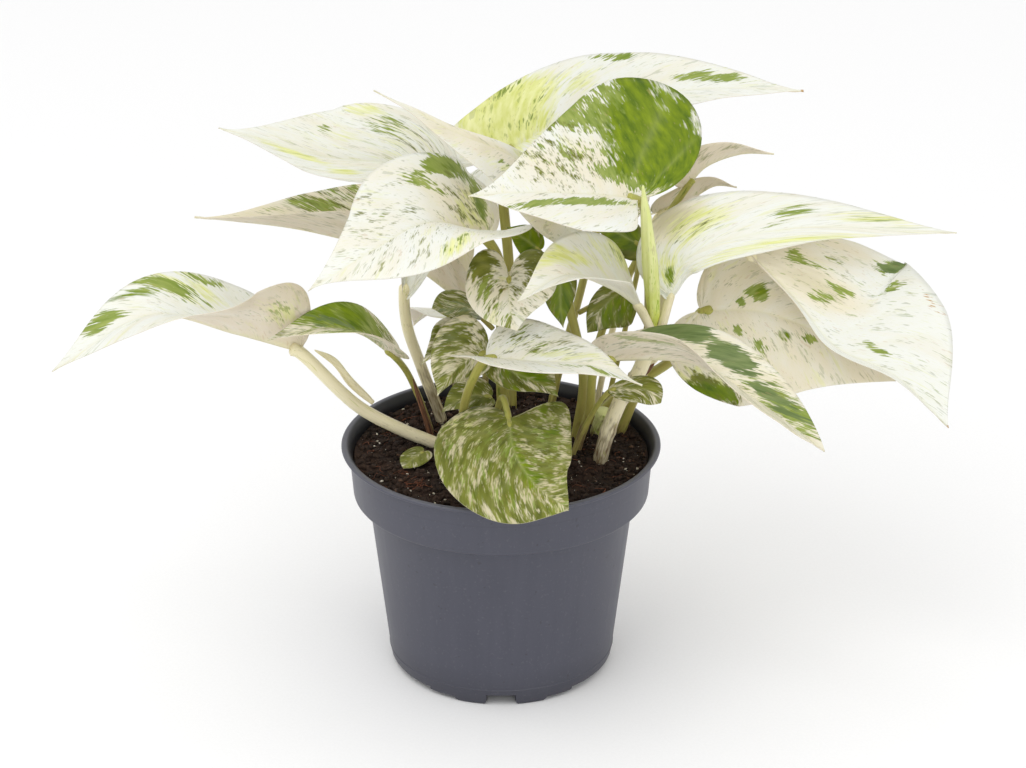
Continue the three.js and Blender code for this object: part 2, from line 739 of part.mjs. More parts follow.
function potGeometry() {
  const w = POT.wall;
  const outline = [
    [0, POT.floorZ],
    [POT.footRadius - POT.footWidth, POT.floorZ],
    [POT.footRadius - POT.footWidth, 0],
    [POT.footRadius, 0],
    [POT.bodyBottom, POT.floorZ],
    [POT.bodyTop, SHOULDER - 2],
    [POT.bandBottom, SHOULDER],
    [POT.bandTop, POT_HEIGHT - POT.rimThickness - 1],
    [RIM_RADIUS - 0.5, POT_HEIGHT - POT.rimThickness],
    [RIM_RADIUS, POT_HEIGHT - POT.rimThickness / 2],
    [RIM_RADIUS - 0.5, POT_HEIGHT],
    [POT.bandTop - w, POT_HEIGHT],
    [POT.bandBottom - w, SHOULDER + 1.5],
    [POT.bodyTop - w, SHOULDER - 1],
    [POT.bodyBottom - w, FLOOR_TOP + 1],
    [POT.bodyBottom - w - 1.5, FLOOR_TOP],
    [0, FLOOR_TOP],
  ];
  let pot = toSolid(turned(outline, POT.segments));
  const cut = (geometry) => {
    pot = pot.subtract(toSolid(geometry));
  };
  for (let i = 0; i < FOOT_RING.repeats; i += 1) {
    const turn = (i * 2 * Math.PI) / FOOT_RING.repeats - Math.PI / 2;
    cut(footCut(turn, FOOT_RING.gapHalf, POT.floorZ));
    for (const [angle, half, raise] of FOOT_RING.steps) {
      cut(footCut(turn + angle, half, raise));
      cut(footCut(turn - angle, half, raise));
    }
  }
  for (let i = 0; i < DRAIN.count; i += 1) {
    const hole = new THREE.CylinderGeometry(DRAIN.radius, DRAIN.radius, 8, 12);
    hole.rotateX(Math.PI / 2);
    hole.translate(DRAIN.ring, 0, POT.floorZ);
    hole.rotateZ(((i + 0.5) * 2 * Math.PI) / DRAIN.count);
    cut(hole);
  }
  return fromSolid(pot);
}

// A block that raises the foot ring over a stretch of its circle.
function footCut(turn, halfAngle, raise) {
  const reach = 10;
  const width = 2 * POT.footRadius * Math.tan(halfAngle);
  const block = new THREE.BoxGeometry(reach, width, 2 * raise);
  block.translate(POT.footRadius - 1, 0, 0);
  block.rotateZ(turn);
  return block;
}

// ---------------------------------------------------------------- soil
function soilGeometry(buried) {
  const w = POT.wall + SOIL.clearance;
  const profile = [
    [0, FLOOR_TOP + SOIL.clearance],
    [POT.bodyBottom - w - 1.5, FLOOR_TOP + SOIL.clearance],
    [POT.bodyBottom - w, FLOOR_TOP + 1 + SOIL.clearance],
    [POT.bodyTop - w, SHOULDER - 1 + SOIL.clearance],
    [POT.bandBottom - w, SHOULDER + 1.5 + SOIL.clearance],
    [POT.bandBottom - w, SOIL.top],
    [POT.bandBottom / 2, SOIL.top + 0.8 * SOIL.crown],
    [0, SOIL.top + SOIL.crown],
  ];
  let soil = toSolid(turned(profile, POT.segments));
  for (const { route, radius } of buried) {
    soil = soil.subtract(toSolid(rod(route, radius + SOIL.clearance)));
  }
  return fromSolid(soil);
}

// ---------------------------------------------------------------- assembly
const plant = new THREE.Group();

function add(name, geometry, material) {
  const mesh = new THREE.Mesh(geometry, material);
  mesh.name = name;
  plant.add(mesh);
}

const buried = [];
function stalk(route, radius) {
  if (route[0][2] < SOIL.top) buried.push({ route, radius });
  return rod(route, radius);
}

for (const leaf of LEAVES.map(prepared)) {
  const { radius, route, joined } = leaf.petiole;
  const blade = bladeGeometry(leaf);
  const petiole = stalk([...route, petioleEnd(leaf)], radius);
  if (joined) {
    add(leaf.name, fromSolid(fused(blade, petiole)), finish(leaf.colour));
  } else {
    add(leaf.name, blade, finish(leaf.colour));
    add(leaf.name.replace('leaf', 'petiole'), petiole, finish(COLOUR.petiole));
  }
}
for (const { name, colour, radius, route } of STEMS) add(name, stalk(route, radius), finish(colour));
add('leaf_new_rolled', rolledLeafGeometry(), finish(COLOUR.lime));
add('pot', potGeometry(), finish(COLOUR.pot, 0.45));
add('soil', soilGeometry(buried), finish(COLOUR.soil, 0.95));

export default plant;
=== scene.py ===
# %% [markdown]
# # A white-variegated pothos in a nursery pot
# The plant stands in a grey moulded pot, 12 cm across. Its leaves are thin curved blades on long
# stalks, white with green flecks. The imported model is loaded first: it gives the true place and
# size of every piece, and each detailed piece below stands for one of its nodes.

import math
from itertools import combinations

import bpy
import numpy as np
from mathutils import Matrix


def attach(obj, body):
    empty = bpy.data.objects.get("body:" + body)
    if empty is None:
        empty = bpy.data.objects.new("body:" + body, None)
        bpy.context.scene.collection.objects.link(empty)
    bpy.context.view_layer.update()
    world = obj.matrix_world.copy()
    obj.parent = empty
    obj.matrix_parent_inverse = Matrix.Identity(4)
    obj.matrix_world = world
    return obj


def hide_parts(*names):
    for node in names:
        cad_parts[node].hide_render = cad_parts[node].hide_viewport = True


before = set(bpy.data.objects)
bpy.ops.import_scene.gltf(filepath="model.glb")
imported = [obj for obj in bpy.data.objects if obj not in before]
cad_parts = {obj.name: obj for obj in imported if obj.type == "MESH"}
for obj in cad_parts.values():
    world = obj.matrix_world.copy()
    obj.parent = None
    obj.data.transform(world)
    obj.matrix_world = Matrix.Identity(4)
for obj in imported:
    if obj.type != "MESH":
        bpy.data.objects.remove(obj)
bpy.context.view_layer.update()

# %% [markdown]
# ## Camera
# The photograph was taken from a metre away, a little above the plant. The pot is round, so the
# ellipses of its rim, band and foot give the camera's tilt and height, and the lens follows from
# the pot's width. The view has no roll and no shift.

# %% Place the camera
lens = bpy.data.cameras.new("camera")
lens.sensor_width = 36.0
lens.lens = 103.27
lens.clip_start = 0.05
camera = bpy.data.objects.new("camera", lens)
bpy.context.scene.collection.objects.link(camera)
camera.location = (0.0045, -1.0, 0.5605)
camera.rotation_euler = (math.radians(90 - 24.1), 0, 0)
bpy.context.scene.camera = camera
print("camera at", tuple(camera.location), "lens", round(lens.lens, 1), "mm")

# %% [markdown]
# ## Helpers for materials
# Colours are written as the sRGB hex values that a colour picker shows, and one function turns
# them into the linear values that Blender mixes. One more function adds a node: its plain values
# and its links go in together, so a material reads from top to bottom.


# %% Colours and nodes
def linear(code):
    """An sRGB hex colour as linear red, green, blue and alpha."""
    shares = [int(code[i : i + 2], 16) / 255 for i in (1, 3, 5)]
    return [c / 12.92 if c <= 0.04045 else ((c + 0.055) / 1.055) ** 2.4 for c in shares] + [1.0]


def add(tree, kind, sockets=None, out=0, **settings):
    """Adds a node, sets or links its sockets, and gives back one of its outputs."""
    node = tree.nodes.new(kind)
    for key, value in settings.items():
        setattr(node, key, value)
    for key, value in (sockets or {}).items():
        if isinstance(value, bpy.types.NodeSocket):
            tree.links.new(value, node.inputs[key])
        elif isinstance(value, str):
            node.inputs[key].default_value = linear(value)
        else:
            node.inputs[key].default_value = value
    return node.outputs[out] if len(node.outputs) else node


def material(name):
    """A new material with an empty node tree."""
    made = bpy.data.materials.new(name)
    made.use_nodes = True
    made.node_tree.nodes.clear()
    return made, made.node_tree


# The sockets of a Mix node that blends colours are numbered: factor 0, colours 6 and 7, result 2.
def blended(tree, share, first, second):
    return add(tree, "ShaderNodeMix", {0: share, 6: first, 7: second}, 2, data_type="RGBA")


def finished(tree, sockets):
    """Closes a tree with a principled shader."""
    shader = add(tree, "ShaderNodeBsdfPrincipled", sockets)
    add(tree, "ShaderNodeOutputMaterial", {"Surface": shader})


def leveled(tree, value, low, high, to_low=0.0, to_high=1.0):
    """Spreads the range low to high of a value over to_low to to_high."""
    sockets = {0: value, 1: low, 2: high, 3: to_low, 4: to_high}
    return add(tree, "ShaderNodeMapRange", sockets)


MM = 0.001
print("1 mm is", MM, "Blender units")

# %% [markdown]
# ## Leaf tissue
# A pothos leaf is thin, smooth and slightly waxy: a satin gloss, and some light comes through.
# Where cells have lost their green the leaf is white. Green cells lie between the side veins, in
# flecks one or two millimetres wide and two or three times as long. So the flecks are a noise
# stretched along the veins, for which the blades carry a UV map in millimetres: u across the
# side veins and v along them. How much of each green a place holds is painted on the mesh as a
# vertex attribute between 0 and 1, and the noise is cut at that height: at 1 the tissue is solid
# green, at 0.2 a few flecks are left.


# %% Leaf tissue
def noise(tree, place, wide, long, shift, detail=2.0):
    """A noise in the map of veins, its grains wide by long millimetres."""
    sockets = {0: place, 1: (1 / wide, 1 / long, 1), 2: (shift, 2 * shift, shift)}
    scaled = add(tree, "ShaderNodeVectorMath", sockets, operation="MULTIPLY_ADD")
    sockets = {"Vector": scaled, "Scale": 1.0, "Detail": detail, "Roughness": 0.55}
    return add(tree, "ShaderNodeTexNoise", sockets, noise_dimensions="2D")


def flecked(tree, place, amount, shift, wide, long, blur=0.07, coarse=0.48):
    """Where a pigment shows: its painted amount, cut by coarse clouds and fine flecks."""
    clouds = noise(tree, place, 5 * wide, 2.4 * long, shift)
    flecks = noise(tree, place, wide, long, shift + 7, 2.5)
    mixed = add(tree, "ShaderNodeMix", {0: 1 - coarse, 2: clouds, 3: flecks}, data_type="FLOAT")
    level = leveled(tree, mixed, 0.33, 0.67)
    gap = add(tree, "ShaderNodeMath", {0: amount, 1: level}, operation="SUBTRACT")
    return leveled(tree, gap, -0.5 * blur, 1.5 * blur)


# Each pigment: its light and dark colour, its flecks' width and length in millimetres, how soft
# their edges are, and the share of coarse clouds in them.
PIGMENTS = {
    "lime": ("#EAEBB0", "#CCD26C", 1.8, 5.0, 0.35, 0.5),
    "green": ("#9DA958", "#72882E", 1.1, 2.8, 0.1, 0.5),
    "olive": ("#868B3A", "#535B16", 0.9, 1.8, 0.2, 0.6),
    "vivid": ("#82960A", "#4C6604", 1.8, 4.0, 0.2, 0.6),
    "dark": ("#809058", "#586C38", 1.4, 3.6, 0.08, 0.65),
}


def tissue(name, ground, cream, tan, strength, rough):
    """A leaf's skin: its pale ground, cream or tan in places, and the greens over it."""
    made, tree = material(name)
    place = add(tree, "ShaderNodeUVMap", uv_map="veins")
    paint = {
        key: add(tree, "ShaderNodeAttribute", out=2, attribute_name=key)
        for key in ("cream", *PIGMENTS, "rib", "dry_and_shade")
    }
    soft = noise(tree, place, 14, 20, 3)
    uneven = leveled(tree, soft, 0.3, 0.7, -0.3, 0.3)
    warm = add(tree, "ShaderNodeMath", {0: paint["cream"], 1: uneven})
    colour = blended(tree, leveled(tree, warm, 0.05, 0.95), ground, cream)
    colour = blended(tree, leveled(tree, warm, 1.05, 1.95), colour, tan)
    dots = leveled(tree, noise(tree, place, 0.5, 1.4, 51, 1.0), 0.62, 0.7, 0, 0.16)
    colour = blended(tree, dots, colour, PIGMENTS["lime"][1])
    for step, (key, (light, deep, wide, long, blur, coarse)) in enumerate(PIGMENTS.items()):
        show = flecked(tree, place, paint[key], 11 + 17 * step, wide, long, blur, coarse)
        show = add(tree, "ShaderNodeMath", {0: show, 1: strength}, operation="MULTIPLY")
        shade = leveled(tree, noise(tree, place, 4, 7, 29 + 13 * step, 3.5), 0.25, 0.75)
        colour = blended(tree, show, colour, blended(tree, shade, light, deep))
    # The midrib and the side veins hold little green, so they show as pale lines.
    pale = add(tree, "ShaderNodeMath", {0: paint["rib"], 1: 0.4}, operation="MULTIPLY")
    colour = blended(tree, pale, colour, "#D9D8A0")
    # Dry margins and tips are brown and matt.
    burnt = flecked(tree, place, paint["dry_and_shade"], 91, 1.5, 2.0)
    colour = blended(tree, burnt, colour, "#BE9E74")
    grain = noise(tree, place, 0.35, 0.9, 61, 2.0)
    bump = add(tree, "ShaderNodeBump", {"Strength": 0.25, "Distance": 0.12 * MM, "Height": grain})
    finished(
        tree,
        {
            "Base Color": colour,
            "Roughness": leveled(tree, burnt, 0, 1, rough, 0.8),
            "IOR": 1.42,
            "Specular IOR Level": 0.3,
            "Subsurface Weight": 0.2,
            "Subsurface Radius": (1.0, 1.0, 1.0),
            "Subsurface Scale": 0.3 * MM,
            "Normal": bump,
        },
    )
    return made


upper_skin = tissue("pothos leaf upper skin", "#E6E7E0", "#E4DDC8", "#C4BB98", 1.0, 0.38)
under_skin = tissue("pothos leaf underside", "#E8E5DA", "#DED3BE", "#CDC0A6", 0.62, 0.5)
print("leaf tissue:", upper_skin.name, "and", under_skin.name)

# %% [markdown]
# ## Stalks and stems
# Leaf stalks are smooth and juicy, cream to yellow-green, with fine lengthwise fibres and a few
# green flecks. Where they leave the soil they are brown: partly a stain and partly painted shade.
# The map of a stalk runs in millimetres too: u round it and v along it, so that the fibres follow
# every bend.


# %% Stalk skin
def stalk_skin(name, low, high, fleck):
    made, tree = material(name)
    place = add(tree, "ShaderNodeUVMap", uv_map="veins")
    share = add(tree, "ShaderNodeAttribute", out=2, attribute_name="rise")
    stain_and_shade = add(tree, "ShaderNodeAttribute", out=2, attribute_name="dry_and_shade")
    green = add(tree, "ShaderNodeAttribute", out=2, attribute_name="green")
    fibre = noise(tree, place, 0.5, 14, 5, 3.0)
    cloud = noise(tree, place, 3, 12, 23)
    both = add(tree, "ShaderNodeMath", {0: share, 1: leveled(tree, cloud, 0.3, 0.7, -0.35, 0.35)})
    colour = blended(tree, leveled(tree, both, 0, 1), low, high)
    colour = blended(tree, leveled(tree, fibre, 0.45, 0.7, 0, 0.18), colour, fleck)
    colour = blended(tree, flecked(tree, place, green, 43, 0.5, 4.0), colour, fleck)
    # Low down the brown is partly a stain and partly painted shade near the soil; at a stem's rings
    # it is a stain.
    stain_and_painted_light = flecked(tree, place, stain_and_shade, 71, 0.9, 4.0, 0.4)
    colour = blended(tree, stain_and_painted_light, colour, "#715C40")
    bump = add(tree, "ShaderNodeBump", {"Strength": 0.3, "Distance": 0.15 * MM, "Height": fibre})
    finished(
        tree,
        {
            "Base Color": colour,
            "Roughness": leveled(tree, stain_and_painted_light, 0, 1, 0.38, 0.75),
            "IOR": 1.42,
            "Subsurface Weight": 0.15,
            "Subsurface Radius": (1.0, 1.0, 1.0),
            "Subsurface Scale": 0.6 * MM,
            "Normal": bump,
        },
    )
    return made


cream_stalk = stalk_skin("pothos stalk cream", "#E6DCBC", "#ECE3BE", "#C8C680")
green_stalk = stalk_skin("pothos stalk yellow-green", "#A69C55", "#B0AE58", "#7C8C34")
lime_skin = stalk_skin("young leaf and stem lime", "#C9D460", "#E3E7A4", "#A8C040")
print("stalk skins:", cream_stalk.name, green_stalk.name, lime_skin.name)

# %% [markdown]
# The sheath that wrapped a young leaf dries to brown paper: matt, streaked lengthwise, its edges
# curled. It needs no light through it, only two browns and a rougher surface.

# %% Dried sheath
dry_sheath, tree = material("dried papery sheath")
place = add(tree, "ShaderNodeUVMap", uv_map="veins")
streak = noise(tree, place, 0.4, 9, 2, 4.0)
colour = blended(tree, leveled(tree, streak, 0.35, 0.65), "#3E2619", "#8A5F42")
bump = add(tree, "ShaderNodeBump", {"Strength": 0.6, "Distance": 0.3 * MM, "Height": streak})
finished(tree, {"Base Color": colour, "Roughness": 0.82, "Normal": bump})
print("sheath:", dry_sheath.name)

# %% [markdown]
# ## Shapes from numbers
# Every leaf and stalk follows a smooth curve through a few points, the same curve as in the
# model. The mesh is worked out with numpy, all points at once, in millimetres. A piece is
# gathered from bits, each with its corners, faces, map and painted values, and then joined.


# %% Curves and meshes
def unit(v):
    return v / np.maximum(np.linalg.norm(v, axis=-1, keepdims=True), 1e-12)


def through(points, share):
    """Places on the smooth curve through the points (a centripetal Catmull-Rom curve)."""
    p = np.asarray(points, float)
    last = len(p) - 2
    share = np.clip(np.atleast_1d(np.asarray(share, float)), 0, 1) * (last + 1)
    i = np.minimum(share.astype(int), last)
    w = (share - i)[:, None]
    padded = np.vstack([2 * p[0] - p[1], p, 2 * p[-1] - p[-2]])
    a, b, c, d = (padded[i + k] for k in range(4))
    steps = [np.sqrt(np.linalg.norm(m - n, axis=1))[:, None] for m, n in ((b, a), (c, b), (d, c))]
    da, db, dc = steps
    start = ((b - a) / da - (c - a) / (da + db) + (c - b) / db) * db
    end = ((c - b) / db - (d - b) / (db + dc) + (d - c) / dc) * db
    square, cube = 3 * c - 3 * b - 2 * start - end, 2 * b - 2 * c + start + end
    return b + start * w + square * w**2 + cube * w**3


def heading(points, share):
    """The direction of the curve, from a short step ahead and a short step back."""
    share, step = np.atleast_1d(np.asarray(share, float)), 1e-4
    ahead, back = np.minimum(share + step, 1), np.maximum(share - step, 0)
    return unit(through(points, ahead) - through(points, back))


def length_of(points):
    return np.linalg.norm(np.diff(through(points, np.linspace(0, 1, 201)), axis=0), axis=1).sum()


def bezier(a, b, c, d, t):
    t = t[:, None]
    a, b, c, d = (np.array(corner, float) for corner in (a, b, c, d))
    return a * (1 - t) ** 3 + 3 * b * t * (1 - t) ** 2 + 3 * c * t**2 * (1 - t) + d * t**3


def waves(x, y, size, seed):
    """Smooth uneven hills between -1 and 1, about size across, the same on every run."""
    grid = np.random.default_rng(seed).uniform(-1, 1, (64, 64))
    x, y = np.asarray(x) / size + 500.0, np.asarray(y) / size + 500.0
    i, j = np.floor(x).astype(int), np.floor(y).astype(int)
    u, v = x - i, y - j
    u, v = u * u * (3 - 2 * u), v * v * (3 - 2 * v)
    corner = [[grid[(i + a) % 64, (j + b) % 64] for b in (0, 1)] for a in (0, 1)]
    near = corner[0][0] * (1 - v) + corner[0][1] * v
    far = corner[1][0] * (1 - v) + corner[1][1] * v
    return near * (1 - u) + far * u


def net(rows, columns, rows_round=False, columns_round=True):
    """The quads between the points of a net that is listed row by row."""
    counts = rows - (not rows_round), columns - (not columns_round)
    i, j = (grid.ravel() for grid in np.meshgrid(*map(np.arange, counts), indexing="ij"))
    beyond, after = (i + 1) % rows * columns, (j + 1) % columns
    return np.stack([i * columns + j, i * columns + after, beyond + after, beyond + j], 1)


FLIP = [0, 3, 2, 1]  # the corners of a quad in the order that faces the other way
print("a test curve is", round(length_of([[0, 0, 0], [10, 0, 0], [20, 5, 0]]), 1), "mm long")


# %% Pieces
PAINTS = ("cream", *PIGMENTS, "rib", "dry_and_shade", "rise")


def bit_of(points, faces, skin, **more):
    """A bit with one skin, and with no map unless one is given."""
    blank = np.zeros((sum(len(face) for face in faces), 2))
    return dict({"map": blank}, points=points, faces=faces, skins=[skin], **more)


def piece(name, node, bits):
    """Joins bits into one mesh, in metres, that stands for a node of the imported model."""
    mesh = bpy.data.meshes.new(name)
    corners, faces, maps, skins, first = [], [], [], [], 0
    materials = []
    paint = {key: [] for key in PAINTS}
    for bit in bits:
        materials += [skin for skin in bit["skins"] if skin not in materials]
        count = len(bit["points"])
        corners.append(np.asarray(bit["points"], float) * MM)
        faces += [tuple(int(k) + first for k in face) for face in bit["faces"]]
        maps.append(np.asarray(bit["map"], float).reshape(-1, 2))
        which = np.broadcast_to(bit.get("which", 0), len(bit["faces"]))
        skins += [materials.index(bit["skins"][k]) for k in which]
        for key in PAINTS:
            value = bit.get("paint", {}).get(key, 0.0)
            paint[key].append(np.broadcast_to(np.asarray(value, float), (count,)))
        first += count
    mesh.from_pydata(np.vstack(corners).tolist(), [], faces)
    for made in materials:
        mesh.materials.append(made)
    mesh.polygons.foreach_set("material_index", skins)
    mesh.uv_layers.new(name="veins").data.foreach_set("uv", np.vstack(maps).ravel())
    for key in PAINTS:
        layer = mesh.attributes.new(key, "FLOAT", "POINT")
        layer.data.foreach_set("value", np.concatenate(paint[key]))
    mesh.shade_smooth()
    made = bpy.data.objects.new(name, mesh)
    bpy.context.scene.collection.objects.link(made)
    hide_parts(node)
    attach(made, "root")
    return made


print("each corner carries", ", ".join(PAINTS))
